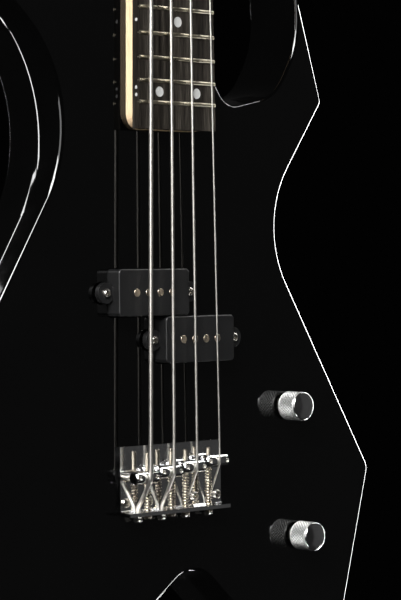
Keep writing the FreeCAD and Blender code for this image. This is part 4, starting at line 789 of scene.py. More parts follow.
class ShapeTree:
    """Geometry Nodes tree that ends in real, painted faces."""

    def __init__(self, name: str, inputs: dict) -> None:
        """Start the tree.

        Args:
            name: The tree's name.
            inputs: Its inputs besides the geometry and the material.
        """
        self.graph, self.source, self.result = group_tree(
            name, "GeometryNodeTree",
            {"Geometry": "NodeSocketGeometry", **inputs, "Material": "NodeSocketMaterial"},
            {"Geometry": "NodeSocketGeometry"})

    def wire(self, curve: Socket, sides: int | Socket, radius: Socket) -> Socket:
        """Draw a smooth round wire along a curve and keep each point's place along it.

        Args:
            curve: The curve's socket.
            sides: Faces round the wire, as a count or a socket.
            radius: The socket with the wire's radius.

        Returns:
            The wire's socket.
        """
        length = self.graph.add("GeometryNodeSplineParameter").outputs["Length"]
        kept = self.graph.add("GeometryNodeStoreNamedAttribute", {
            "Geometry": curve, "Name": "along", "Value": length}, data_type="FLOAT", domain="POINT")
        ring = self.graph.add("GeometryNodeCurvePrimitiveCircle", {"Resolution": sides, "Radius": radius})
        tube = self.graph.add("GeometryNodeCurveToMesh", {
            "Curve": kept.outputs["Geometry"], "Profile Curve": ring.outputs["Curve"], "Fill Caps": True})
        smooth = self.graph.add("GeometryNodeSetShadeSmooth", {"Geometry": tube.outputs["Mesh"]})
        return smooth.outputs["Geometry"]

    def close(self, geometry: Socket) -> None:
        """End the tree with real faces in the material that it is given.

        Args:
            geometry: The socket with what the tree has made.
        """
        real = self.graph.add("GeometryNodeRealizeInstances", {"Geometry": geometry})
        painted = self.graph.add("GeometryNodeSetMaterial", {
            "Geometry": real.outputs["Geometry"], "Material": self.source.outputs["Material"]})
        self.graph.tree.links.new(painted.outputs["Geometry"], self.result.inputs["Geometry"])

    def draw(self, name: str, spots: list, values: dict, edges: list | tuple = ()) -> Piece:
        """Put the tree on a new piece and settle it.

        Args:
            name: The piece's name.
            spots: Points that the tree works on.
            values: Values for the tree's inputs by their names.
            edges: Pairs of point numbers for a path.

        Returns:
            The piece as a plain mesh.
        """
        tree = self.graph.tree
        piece = new_object(name, spots, [], edges)
        modifier = piece.modifiers.new(tree.name, "NODES")
        modifier.node_group = tree
        for item in tree.interface.items_tree:
            if item.item_type == "SOCKET" and item.in_out == "INPUT" and item.name in values:
                modifier[item.identifier] = values[item.name]
        return settle(piece)


class WireTree(ShapeTree):
    """Tree that draws a round wire along a path of edges."""

    def __init__(self) -> None:
        """Make the tree."""
        super().__init__("wire_along_path", {"Radius": MM, "Sides": 12})
        given = self.source.outputs
        path = self.graph.add("GeometryNodeMeshToCurve", {"Mesh": given["Geometry"]})
        self.close(self.wire(path.outputs["Curve"], given["Sides"], given["Radius"]))


class CoilTree(ShapeTree):
    """Tree that winds an open spring along z."""

    STEPS = 24
    SIDES = 10

    def __init__(self) -> None:
        """Make the tree."""
        super().__init__("open_coil", {
            "Turns": 10.0, "Coil Radius": MM, "Height": 10.0 * MM, "Wire Radius": 0.3 * MM,
            "Foot": (0.0, 0.0, 0.0)})
        given = self.source.outputs
        spiral = self.graph.add("GeometryNodeCurveSpiral", {
            "Resolution": self.STEPS, "Rotations": given["Turns"], "Start Radius": given["Coil Radius"],
            "End Radius": given["Coil Radius"], "Height": given["Height"]})
        wire = self.wire(spiral.outputs["Curve"], self.SIDES, given["Wire Radius"])
        set_down = self.graph.add("GeometryNodeTransform", {"Geometry": wire, "Translation": given["Foot"]})
        self.close(set_down.outputs["Geometry"])


class HeadTree(ShapeTree):
    """Tree that sets a screw on every spot of a mesh."""

    SEED = 7

    def __init__(self) -> None:
        """Make the tree."""
        super().__init__("screw_heads", {"Head": "NodeSocketObject", "Facing": Facing.FRONT.value})
        graph = self.graph
        given = self.source.outputs
        head = graph.add("GeometryNodeObjectInfo", {"Object": given["Head"], "As Instance": True})
        turn = graph.add("FunctionNodeAlignRotationToVector", {"Vector": given["Facing"]}, axis="Z")
        chance = graph.add("FunctionNodeRandomValue", {"Max": (0.0, 0.0, math.pi), "Seed": self.SEED},
                           data_type="FLOAT_VECTOR")
        spin = graph.add("FunctionNodeEulerToRotation", {"Euler": chance.outputs["Value"]})
        turned = graph.add("FunctionNodeRotateRotation", {
            "Rotation": turn.outputs["Rotation"], "Rotate By": spin.outputs["Rotation"]},
            rotation_space="LOCAL")
        heads = graph.add("GeometryNodeInstanceOnPoints", {
            "Points": given["Geometry"], "Instance": head.outputs["Geometry"],
            "Rotation": turned.outputs["Rotation"]})
        self.close(heads.outputs["Instances"])


def bend_path(corners: list, radii: list, steps: int = 10) -> list:
    """Round the inner corners of a path.

    Args:
        corners: The path's corners.
        radii: A radius for each inner corner.
        steps: Points on each arc.

    Returns:
        Points along the straight runs and arcs.
    """
    path = [corners[0]]
    for before, corner, after, radius in zip(corners, corners[1:], corners[2:], radii):
        back = (before - corner).normalized()
        ahead = (after - corner).normalized()
        half = back.angle(ahead) / 2
        centre = corner + (back + ahead).normalized() * (radius / math.sin(half))
        reach = radius / math.tan(half)
        start = corner + back * reach - centre
        end = corner + ahead * reach - centre
        for step in range(steps + 1):
            path.append(centre + start.slerp(end, step / steps) * radius)
    path.append(corners[-1])
    return path


@dataclass
class Hull:
    """The bevelled body with its rounded rims."""

    stock: Stock
    rim: float = 2.0 * MM
    rim_steps: int = 4
    least_turn: float = math.radians(9.0)
    pocket_share: float = 0.2
    bevel_lean: tuple = (0.05, 0.97)
    lean_step: float = 0.06
    level_run: float = 0.5
    face_corners: int = 40
    close: float = 1e-4
    parallel: float = 1e-16

    def build(self) -> None:
        """Stand a copy of the body with rounded rims in its place."""
        work = self.stock.merged("body")
        weights = work.edges.layers.float.new("bevel_weight_edge")
        for edge in work.edges:
            if len(edge.link_faces) == 2 and edge.calc_face_angle(0.0) > self.least_turn:
                edge[weights] = self._weight(edge)
        piece = from_work("body_hull", work)
        modify(piece, "BEVEL", width=self.rim, segments=self.rim_steps, limit_method="WEIGHT",
               use_clamp_overlap=False)
        self._untangle(settle(piece).data)
        modify(piece, "WEIGHTED_NORMAL", keep_sharp=True)
        self.stock.dress(settle(piece), Finish.BLACK_LACQUER, "body")

    def _untangle(self, mesh: bpy.types.Mesh) -> None:
        """Draw in each loop that the rounding turned over at a sharp tip of a flat face.

        Args:
            mesh: The rounded body.
        """
        work = bmesh.new()
        work.from_mesh(mesh)
        flat = self.bevel_lean[1]
        for face in [face for face in work.faces
                     if len(face.verts) > self.face_corners and abs(face.normal.y) > flat]:
            ring = list(face.verts)
            for first, length, spot in self._loops(np.array([vertex.co.xz for vertex in ring])):
                loop = [ring[(first + step) % len(ring)] for step in range(1, length + 1)]
                if all(vertex.is_valid for vertex in loop):
                    bmesh.ops.pointmerge(work, verts=loop, merge_co=(spot[0], loop[0].co.y, spot[1]))
        bmesh.ops.dissolve_degenerate(work, dist=WELD, edges=work.edges)
        work.to_mesh(mesh)
        work.free()

    def _loops(self, start: np.ndarray) -> list:
        """Find where a flat outline crosses itself.

        Args:
            start: The outline's corners in order.

        Returns:
            For each loop, the longest first: the corner before it, its count of corners and the crossing.
        """
        side = np.roll(start, -1, axis=0) - start
        found = []
        for first in range(len(start)):
            gap = start - start[first]
            facing = side[first, 0] * side[:, 1] - side[first, 1] * side[:, 0]
            # sides that run parallel never cross
            facing[np.abs(facing) < self.parallel] = np.inf
            here = (gap[:, 0] * side[:, 1] - gap[:, 1] * side[:, 0]) / facing
            there = (gap[:, 0] * side[first, 1] - gap[:, 1] * side[first, 0]) / facing
            inside = [(share > self.close) & (share < 1 - self.close) for share in (here, there)]
            for second in np.nonzero(inside[0] & inside[1])[0]:
                length = (second - first) % len(start)
                if length < len(start) / 2:
                    found.append((first, length, start[first] + side[first] * here[second]))
        return sorted(found, key=lambda loop: -loop[1])

    def _weight(self, edge: bmesh.types.BMEdge) -> float:
        """Share out the rim's rounding.

        Args:
            edge: An edge between two faces.

        Returns:
            All of it for an edge of the outline, less at a pocket.
        """
        leans = sorted(abs(face.normal.y) for face in edge.link_faces)
        low, high = self.bevel_lean
        if any(low < lean < high for lean in leans):
            run = (edge.verts[1].co - edge.verts[0].co).normalized()
            level = abs(run.y) < self.level_run
            return 1.0 if level and leans[1] - leans[0] > self.lean_step else 0.0
        if leans[0] < low and leans[1] > high:
            return self.pocket_share
        return 0.0


@dataclass
class Neck:
    """Neck, board, frets, dots, nut and what adjusts the neck."""

    stock: Stock
    eased: tuple = (
        ("neck", Finish.MAPLE, 0.8 * MM),
        ("fretboard", Finish.ROSEWOOD, 0.3 * MM),
        ("frets", Finish.FRET_NICKEL, 0.1 * MM),
        ("position_dots", Finish.PEARL, 0.1 * MM),
        ("side_dots", Finish.PEARL, 0.1 * MM),
        ("nut", Finish.BONE, 0.3 * MM),
        ("truss_rod", Finish.STEEL, 0.2 * MM),
        ("truss_rod_cover", Finish.COVER_PLASTIC, 0.4 * MM),
        ("neck_plate", Finish.CHROME, 0.5 * MM),
    )

    def build(self) -> None:
        """Dress every piece of the neck."""
        self.stock.skins(self.eased)


@dataclass(frozen=True)
class Screw:
    """Cross-recessed screw with a pan head."""

    head_radius: float
    head_height: float
    shank_radius: float
    sides: int = 24
    point_share: float = 0.3
    point_slope: float = 2.0
    arm_share: float = 0.58
    slot_share: float = 0.15
    recess_share: float = 0.62
    recess_taper: float = 0.72
    sharp: float = 38.0
    head_rows: tuple = ((0.97, 0.0), (1.0, 0.22), (0.93, 0.62), (0.74, 0.90))

    def set_row(self, stock: Stock, heads: HeadTree, node: str, name: str, facing: Facing) -> None:
        """Set a screw on each of a node's plain ones, and let the row stand for the node.

        Args:
            stock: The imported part.
            heads: The tree that sets the screws.
            node: The node.
            name: The row's name.
            facing: The way that the heads face.
        """
        low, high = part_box(node)
        level = low.y + self.head_height if facing is Facing.FRONT else high.y - self.head_height
        head = self._build(f"{name}_one", high.y - low.y - self.head_height)
        row = heads.draw(name, shell_spots(stock.merged(node), level), {
            "Head": head, "Facing": facing.value, "Material": stock.palette.get(Finish.STEEL)})
        bpy.data.objects.remove(head)
        stock.dress(row, Finish.STEEL, node)

    def _build(self, name: str, shank: float) -> Piece:
        """Make one screw that faces +z, with its head's underside at the origin.

        Args:
            name: The screw's name.
            shank: The length of its shank.

        Returns:
            The screw.
        """
        work = bmesh.new()
        crown = self.head_height
        thin = self.shank_radius
        profile = [(thin * self.point_share, -shank), (thin, thin * self.point_slope - shank), (thin, 0.0)]
        profile += [(self.head_radius * wide, crown * tall) for wide, tall in self.head_rows]
        rings = []
        for radius, height in profile:
            rings.append([work.verts.new((radius * math.cos(angle), radius * math.sin(angle), height))
                          for angle in ring_angles(self.sides)])
        weave(work, rings)
        work.faces.new(rings[0][::-1])
        arm = self.head_radius * self.arm_share
        slot = self.head_radius * self.slot_share
        cross = []
        floor = []
        for angle in ring_angles(4):
            turn = Matrix.Rotation(angle, 3, "Z")
            for x, y in ((arm, -slot), (arm, slot), (slot, slot)):
                spot = turn @ Vector((x, y, 0.0))
                cross.append(work.verts.new((spot.x, spot.y, crown)))
                inner = spot * self.recess_taper
                floor.append(work.verts.new((inner.x, inner.y, crown * (1 - self.recess_share))))
        top = rings[-1]
        rim = [work.edges.new((cross[index - 1], cross[index])) for index in range(len(cross))]
        rim += [work.edges.get((top[side - 1], top[side])) for side in range(self.sides)]
        bmesh.ops.triangle_fill(
            work, use_beauty=True, use_dissolve=False, edges=rim, normal=(0.0, 0.0, 1.0))
        # the fill covers the cross too, which is opened again and given its sides and floor
        doomed = [face for face in work.faces if all(vertex in cross for vertex in face.verts)]
        bmesh.ops.delete(work, geom=doomed, context="FACES_ONLY")
        weave(work, [cross, floor])
        work.faces.new(floor)
        bmesh.ops.recalc_face_normals(work, faces=work.faces)
        return from_work(name, work, self.sharp)


def shell_spots(work: Work, level: float) -> list:
    """Middle of each separate shell of a mesh, at a given depth.

    Args:
        work: The mesh, which is freed.
        level: The y at which the spots lie.

    Returns:
        One spot for each shell, in the order of their places.
    """
    left = set(work.verts)
    spots = []
    while left:
        shell = []
        open_ends = [left.pop()]
        while open_ends:
            vertex = open_ends.pop()
            shell.append(vertex.co)
            for edge in vertex.link_edges:
                other = edge.other_vert(vertex)
                if other in left:
                    left.remove(other)
                    open_ends.append(other)
        xs = [spot.x for spot in shell]
        zs = [spot.z for spot in shell]
        spots.append(((min(xs) + max(xs)) / 2, level, (min(zs) + max(zs)) / 2))
    work.free()
    return sorted(spots)


@dataclass(frozen=True)
class Thread:
    """Threaded rod with a real helical ridge."""

    radius: float
    pitch: float
    depth: float
    columns: int
    rows_per_turn: int = 5

    def build(self, name: str, foot: Vector, axis: Vector, length: float, ends: tuple) -> Piece:
        """Make the rod.

        Args:
            name: The piece's name.
            foot: Where its axis starts.
            axis: Its direction.
            length: Its threaded length.
            ends: Rings before and after the thread, as pairs of a place along it and a radius.

        Returns:
            The rod.
        """
        angles = np.array(ring_angles(self.columns))
        ridge = []
        for place in np.linspace(0.0, length, int(length / self.pitch * self.rows_per_turn)):
            phase = (place / self.pitch - angles / math.tau) % 1.0
            ridge.append((place, self.radius - self.depth * np.abs(2 * phase - 1)))
        frame = axis.to_track_quat("Z", "Y").to_matrix()
        return lathe(name, foot, frame, [*ends[0], *ridge, *ends[1]], self.columns)


def join(name: str, parts: list) -> Piece:
    """Join pieces at the origin into one.

    Args:
        name: The new piece's name.
        parts: The pieces, which are removed.

    Returns:
        The new piece.
    """
    work = bmesh.new()
    for part in parts:
        work.from_mesh(part.data)
        bpy.data.objects.remove(part)
    return from_work(name, work, SHARP_ANGLE)


@dataclass
class Bridge:
    """Bent plate, barrel saddles, their screws and springs."""

    stock: Stock
    coils: CoilTree
    heads: HeadTree
    ease: float = 0.35 * MM
    lip: float = LIP
    gap: float = GAP
    plate_screw: Screw = Screw(3.0 * MM, 1.7 * MM, 1.6 * MM)
    adjuster: Thread = Thread(1.4 * MM, 0.5 * MM, 0.16 * MM, 20)
    grub: Thread = Thread(1.4 * MM, 0.5 * MM, 0.14 * MM, 18)
    head_height: float = 2.2 * MM
    head_radius: float = 2.5 * MM
    tip_radius: float = 1.0 * MM
    tip_length: float = 0.3 * MM
    point_radius: float = 0.9 * MM
    mouth_radius: float = 1.3 * MM
    mouth_length: float = 0.15 * MM
    socket_radius: float = 0.8 * MM
    socket_depth: float = 1.2 * MM
    spring_wire: float = 0.42 * MM
    spring_radius: float = 1.9 * MM
    spring_pitch: float = 1.75 * MM
    crown_rows: tuple = ((1.0, 0.08), (1.0, 0.68), (0.6, 0.98))

    def build(self) -> None:
        """Dress the bridge."""
        self.stock.skin("bridge_plate", Finish.CHROME, self.ease)
        for name in STRINGS:
            self.stock.skin(f"saddle_{name}", Finish.CHROME, self.ease)
            self._adjuster(name)
            self._feet(name)
            self._spring(name)
        self.plate_screw.set_row(
            self.stock, self.heads, "bridge_screws", "bridge_screw_row", Facing.FRONT)

    def _adjuster(self, name: str) -> None:
        """Thread one intonation screw and give it its round head.

        Args:
            name: The string's letter.
        """
        node = f"intonation_screw_{name}"
        low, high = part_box(node)
        centre = (low + high) / 2
        foot = Vector((centre.x, centre.y, low.z + self.head_height))
        length = high.z - foot.z
        crown = [(-self.head_height * tall, self.head_radius * wide) for tall, wide in self.crown_rows]
        crown += [(-self.gap * 2, self.head_radius), (-self.gap, self.adjuster.radius)]
        tip = [(length, self.tip_radius)]
        piece = self.adjuster.build(
            f"intonation_rod_{name}", foot, Vector((0.0, 0.0, 1.0)), length - self.tip_length, (crown, tip))
        # the rod's darker colour is painted shade between its spring's turns
        self.stock.dress(piece, Finish.SCREW_BRONZE_PAINTED_SHADE, node)

    def _feet(self, name: str) -> None:
        """Thread the two grub screws of one saddle.

        Args:
            name: The string's letter.
        """
        node = f"height_screws_{name}"
        low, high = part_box(node)
        length = high.y - low.y
        point = [(0.0, self.point_radius)]
        socket = [(length, self.mouth_radius), (length, self.socket_radius),
                  (length - self.socket_depth, self.socket_radius)]
        parts = []
        for x in (low.x + self.grub.radius, high.x - self.grub.radius):
            foot = Vector((x, high.y, (low.z + high.z) / 2))
            parts.append(self.grub.build(
                f"grub_{name}_{len(parts)}", foot, Vector(Facing.FRONT.value),
                length - self.mouth_length, (point, socket)))
        self.stock.dress(join(f"grub_screws_{name}", parts), Finish.STEEL, node)

    def _spring(self, name: str) -> None:
        """Wind one spring and stretch it between the lip and its saddle.

        Args:
            name: The string's letter.
        """
        plate_low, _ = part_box("bridge_plate")
        saddle_low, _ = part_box(f"saddle_{name}")
        rod_low, rod_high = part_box(f"intonation_screw_{name}")
        axis = (rod_low + rod_high) / 2
        low = plate_low.z + self.lip + self.spring_wire + self.gap
        high = saddle_low.z - self.spring_wire - self.gap
        turns = round((high - low) / self.spring_pitch * 2) / 2
        foot = Vector((axis.x, axis.y, low))
        piece = self.coils.draw(f"spring_{name}", [(0.0, 0.0, 0.0)], {
            "Turns": turns, "Coil Radius": self.spring_radius, "Height": high - low,
            "Wire Radius": self.spring_wire, "Foot": foot,
            "Material": self.stock.palette.get(Finish.SPRING_BRONZE)})
        self.stock.dress(piece, Finish.SPRING_BRONZE, "intonation_springs", ride=False)
        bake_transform(piece)


@dataclass
class StringSet:
    """Four wound strings from the ball behind the lip to the tuner posts."""

    stock: Stock
    wires: WireTree
    gap: float = GAP
    bridge_spacing: float = 19.0 * MM
    nut_spacing: float = 10.17 * MM
    nut_height: float = 13.5 * MM
    lip: float = LIP
    lip_bend: float = 2.0 * MM
    lip_hole: float = 4.0 * MM
    ball_radius: float = 2.3 * MM
    ball_width: float = 3.2 * MM
    waist: float = 4.0 * MM
    wrap_gap: float = 0.5 * MM
    wrap_clearance: float = 0.15 * MM
    wrap_level: float = 9.0 * MM
    wrap_lead: float = 9.0 * MM
    wrap_turns: float = 1.75
    lead_bend: float = 30.0 * MM
    nut_bend: float = 4.0 * MM
    hole_bend: float = 6.0 * MM
    settle_length: float = 0.12
    arc_steps: int = 12
    wrap_steps: int = 40
    sides: int = 14
    ball_columns: int = 24
    saddle_share: float = 0.5
    ball_rows: tuple = ((-1.0, 0.6), (-1.0, 0.92), (-0.8, 1.0), (-0.45, 0.96), (0.0, 0.8),
                        (0.45, 0.96), (0.8, 1.0), (1.0, 0.92), (1.0, 0.6))

    def build(self) -> None:
        """Make the strings in two stretches each, which meet on the saddle."""
        for name in STRINGS:
            self._string(name, GAUGES[name] / 2)

    def _string(self, name: str, radius: float) -> None:
        """Route, draw and dress one string.

        Args:
            name: The string's letter.
            radius: Half its gauge.
        """
        share = STRING_SHARES[name]
        plate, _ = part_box("bridge_plate")
        low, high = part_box(f"saddle_{name}")
        barrel = (low + high) / 2
        over = (high.z - low.z) / 2 + self.gap + radius
        x = share * self.bridge_spacing
        start = Vector((x, -self.lip_hole, plate.z - self.gap / 2))
        hole = Vector((x, -self.lip_hole, plate.z + self.lip + self.lip_bend))
        # from its hole the string climbs on a tangent to the barrel and runs on level from the crest
        run = Vector((barrel.z - hole.z, hole.y - barrel.y))
        climb = math.atan2(run.y, run.x) + math.asin(over / run.length)
        level = -barrel.y + over
        crest = Vector((x, -level, hole.z + (level - self.lip_hole) / math.tan(climb)))
        _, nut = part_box("nut")
        bend = Vector((share * self.nut_spacing, -self.nut_height - radius, nut.z + self.gap))
        lead, touch, coil = self._wrap(name, radius, bend)
        corners = [start, hole, crest, bend, lead, touch]
        radii = [self.hole_bend, over, self.nut_bend, self.lead_bend]
        path = bend_path(corners, radii, self.arc_steps) + coil
        middle = 1 + (self.arc_steps + 1) + self.arc_steps // 2
        top = path[middle]
        saddle = f"saddle_{name}"
        hold = over * self.saddle_share
        stretches = (
            ("tail", path[:middle + 1], (ROOT, saddle), hole, (top.x, top.y, top.z - hold)),
            ("speaking", path[middle:], (saddle, ROOT), (top.x, top.y, top.z + hold),
             (top.x, top.y, top.z + self.settle_length)),
        )
        for stretch, points, bodies, first, last in stretches:
            runs = [(index, index + 1) for index in range(len(points) - 1)]
            piece = self.wires.draw(f"string_{name}_{stretch}", points, {
                "Radius": radius, "Sides": self.sides,
                "Material": self.stock.palette.get(Finish.WOUND_NICKEL)}, runs)
            self.stock.dress(piece, Finish.WOUND_NICKEL, f"string_{name}", ride=False)
            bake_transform(piece)
        self._ball(name, x, plate.z)

    def _wrap(self, name: str, radius: float, bend: Vector) -> tuple:
        """Lead a string from the nut onto its post.

        Args:
            name: The string's letter.
            radius: Half its gauge.
            bend: Where it crosses the nut.

        Returns:
            The start of the lead, where it touches the post, and the points of its turns.
        """
        low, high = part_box(f"tuner_post_{name}")
        post = Vector(((low.x + high.x) / 2, -self.wrap_level, (low.z + high.z) / 2))
        side = -1.0 if post.x < 0 else 1.0
        wrap = self.waist + radius + self.wrap_clearance
        # from the nut the string meets the post's waist on a tangent
        run = Vector((post.x - bend.x, post.z - bend.z))
        bearing = math.atan2(run.y, run.x) + side * math.asin(wrap / run.length)
        travel = math.sqrt(run.length_squared - wrap * wrap)
        heading = Vector((math.cos(bearing), 0.0, math.sin(bearing)))
        rise = 2 * radius + self.wrap_gap
        slope = Vector((0.0, rise / (math.tau * wrap), 0.0))
        touch = Vector((bend.x, -self.wrap_level, bend.z)) + heading * travel
        lead = touch - (heading + slope) * self.wrap_lead
        first = (touch - post).normalized()
        onward = heading - first * heading.dot(first)
        onward.normalize()
        coil = []
        steps = int(self.wrap_turns * self.wrap_steps)
        for step in range(1, steps + 1):
            angle = math.tau * self.wrap_turns * step / steps
            spoke = first * math.cos(angle) + onward * math.sin(angle)
            coil.append(post + spoke * wrap + Vector((0.0, rise * angle / math.tau, 0.0)))
        return lead, touch, coil

    def _ball(self, name: str, x: float, rear: float) -> None:
        """Turn the grooved ball that holds a string behind the lip.

        Args:
            name: The string's letter.
            x: The string's place across the bridge.
            rear: Where the lip's rear face lies.
        """
        centre = Vector((x, -self.lip_hole, rear - self.ball_radius - self.gap))
        rows = [(place * self.ball_width / 2, self.ball_radius * share) for place, share in self.ball_rows]
        piece = lathe(f"string_{name}_ball", centre, ALONG_X, rows, self.ball_columns)
        self.stock.dress(piece, Finish.BALL_NICKEL, f"string_{name}")


@dataclass
class Pickups:
    """The two halves of the split pickup."""

    stock: Stock
    heads: HeadTree
    screw: Screw = Screw(2.8 * MM, 2.0 * MM, 1.4 * MM)
    cover_ease: float = 0.25 * MM
    coil_ease: float = 0.3 * MM
    pole_ease: float = 0.35 * MM
    fill: float = 0.7
    pad_columns: int = 48
    pad_rows: int = 13
    pad_power: float = 0.28
    pad_draw: float = 0.05

    def build(self) -> None:
        """Dress both halves."""
        for half in HALVES:
            self.stock.skin(f"pickup_cover_{half}", Finish.COVER_PLASTIC, self.cover_ease)
            self.stock.skin(f"pickup_coil_{half}", Finish.COPPER, self.coil_ease)
            self.stock.skin(f"pole_pieces_{half}", Finish.POLE_NICKEL, self.pole_ease)
            self.screw.set_row(
                self.stock, self.heads, f"pickup_screws_{half}", f"pickup_screw_pair_{half}", Facing.FRONT)
        for half in HALVES:
            self._foam(half)

    def _foam(self, half: str) -> None:
        """Make the crowned foam pad under one coil.

        Args:
            half: The half of the pickup.
        """
        _, foam_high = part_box("pickup_foam")
        low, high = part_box(f"pickup_coil_{half}")
        front = high.y
        piece = self._pad(
            f"foam_pad_{half}", Vector((low.x, front, low.z)), Vector((high.x, foam_high.y, high.z)))
        self.stock.dress(piece, Finish.FOAM, "pickup_foam", ride=False)
        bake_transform(piece)

    def _pad(self, name: str, low: Vector, high: Vector) -> Piece:
        """Make a block of foam with rounded corners and drawn-in sides.

        Args:
            name: The piece's name.
            low: Its lowest corner.
            high: Its highest corner.

        Returns:
            The pad.
        """
        middle = (low + high) / 2
        half = (high - low) / 2
        outline = []
        for angle in ring_angles(self.pad_columns):
            outline.append([math.copysign(abs(part) ** self.pad_power, part)
                            for part in (math.cos(angle), math.sin(angle))])
        rings = []
        for place in np.linspace(-1.0, 1.0, self.pad_rows):
            waist = 1.0 - self.pad_draw * (1.0 - place * place)
            rings.append([middle + Vector((half.x * x * waist, half.y * place, half.z * z * waist))
                          for x, z in outline])
        return stack(name, rings)


@dataclass
class Controls:
    """Knurled knobs, their pots, the jack and the cover behind them."""

    stock: Stock
    starts: int = 28
    columns_per_start: int = 12
    rows: int = 60
    knurl_depth: float = 0.48 * MM
    knurl_rows: float = 5.0
    knurl_steepness: float = 1.7
    knurl_fade: float = 14.0
    knurl_ends: tuple = (1.0 * MM, 0.9 * MM)
    crown: float = 2.6 * MM
    dome_share: float = 0.78
    sharp: float = 42.0
    shaft_ease: float = 0.2 * MM
    eased: tuple = (
        ("pot_casings", Finish.STEEL, 0.3 * MM),
        ("control_nuts", Finish.STEEL, 0.2 * MM),
        ("output_jack", Finish.CHROME, 0.3 * MM),
        ("control_cover", Finish.COVER_PLASTIC, 0.4 * MM),
        ("wiring", Finish.BRAID, 0.05 * MM),
    )
    skirt_rows: tuple = ((5.0, 0.34), (5.0, 0.70), (0.3, 0.80), (0.0, 0.84), (0.0, 0.93),
                         (0.35, 0.965), (0.9, 0.965))
    collar_rows: tuple = ((0.8, 0.962), (0.45, 0.962))
    rim_rows: tuple = ((0.45, 0.955), (0.2, 0.975), (0.0, 0.985), (-0.3, 0.983), (-0.55, 0.97))
    dome_rings: tuple = (0.95, 0.90, 0.82, 0.72, 0.60, 0.47, 0.34, 0.21, 0.09)

    def build(self) -> None:
        """Dress the controls."""
        for name in ("volume", "tone"):
            self._knob(name)
            self.stock.skin(f"pot_shaft_{name}", Finish.STEEL, self.shaft_ease)
        self.stock.skins(self.eased)

    def _knob(self, name: str) -> None:
        """Knurl one knob's barrel between its plain rims and set a polished dome on it.

        Args:
            name: What the knob controls.
        """
        node = f"knob_{name}"
        low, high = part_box(node)
        radius = (high.x - low.x) / 2
        base, top = high.y, low.y
        rim = top + self.crown
        columns = self.starts * self.columns_per_start
        turns = np.array(ring_angles(columns)) * self.starts / math.tau
        plain = np.zeros(columns)
        rows = [(base - depth * MM, radius * share) for depth, share in self.skirt_rows]
        hollow = [plain] * len(rows)
        start, end = base - self.knurl_ends[0], rim + self.knurl_ends[1]
        for row in range(self.rows + 1):
            share = row / self.rows
            lean = share * self.knurl_rows
            first, second = (self._ridge(turns + shift) for shift in (lean, -lean))
            fade = min(1.0, share * self.knurl_fade, (1 - share) * self.knurl_fade)
            hollow.append((1 - np.minimum(first, second)) * fade)
            rows.append((start + (end - start) * share, radius - self.knurl_depth * hollow[-1]))
        rows += [(rim + depth * MM, radius * share) for depth, share in self.collar_rows]
        hollow += [plain] * len(self.collar_rows)
        foot = Vector(((low.x + high.x) / 2, 0.0, (low.z + high.z) / 2))
        barrel = lathe(f"knurled_{node}", foot, ALONG_Y, rows, columns, self.sharp)
        # this depth also drives the painted shade and grime in the knurl grooves
        depths = barrel.data.attributes.new("hollow", "FLOAT", "POINT")
        depths.data.foreach_set("value", np.concatenate(hollow).astype(np.float32))
        self.stock.dress(barrel, Finish.KNURLED_CHROME, node)
        rows = [(rim + depth * MM, radius * share) for depth, share in self.rim_rows]
        rise = self.crown * self.dome_share
        rows += [(top + rise * share * share, radius * share) for share in self.dome_rings]
        dome = lathe(f"domed_{node}", foot, ALONG_Y, rows, columns, self.sharp)
        self.stock.dress(dome, Finish.DOMED_CHROME, node)

    def _ridge(self, turn: np.ndarray) -> np.ndarray:
        """Height from 0 in a groove to 1 on a ridge, at places counted in grooves."""
        return np.minimum(1.0, self.knurl_steepness * (1.0 - np.abs(2.0 * (turn % 1.0) - 1.0)))


@dataclass
class Hardware:
    """Neck-plate screws, strap buttons and small screws."""

    stock: Stock
    heads: HeadTree
    screw: Screw = Screw(4.3 * MM, 2.2 * MM, 2.3 * MM)
    eased: tuple = (("strap_buttons", Finish.CHROME, 0.3 * MM), ("small_screws", Finish.STEEL, 0.2 * MM))

    def build(self) -> None:
        """Dress the fittings."""
        self.stock.skins(self.eased)
        self.screw.set_row(self.stock, self.heads, "neck_screws", "neck_screw_set", Facing.BACK)


@dataclass
class Tuners:
    """Posts, keys and housings on the headstock."""

    stock: Stock
    post_ease: float = 0.3 * MM
    key_ease: float = 1.2 * MM
    key_steps: int = 4
    eased: tuple = (("tuner_housings", Finish.CHROME, 0.4 * MM), ("tuner_bushings", Finish.CHROME, 0.3 * MM))

    def build(self) -> None:
        """Dress the tuners."""
        self.stock.skins(self.eased)
        for name in STRINGS:
            self.stock.skin(f"tuner_post_{name}", Finish.CHROME, self.post_ease)
            self.stock.skin(f"tuner_key_{name}", Finish.CHROME, self.key_ease, steps=self.key_steps)


@dataclass(frozen=True)
class Lamp:
    """A soft box: where it stands, what it faces, its size, its power, its roll and its spread."""

    name: str
    spot: tuple
    aim: tuple
    width: float
    height: float
    power: float
    roll: float = 0.0
    spread: float = 180.0


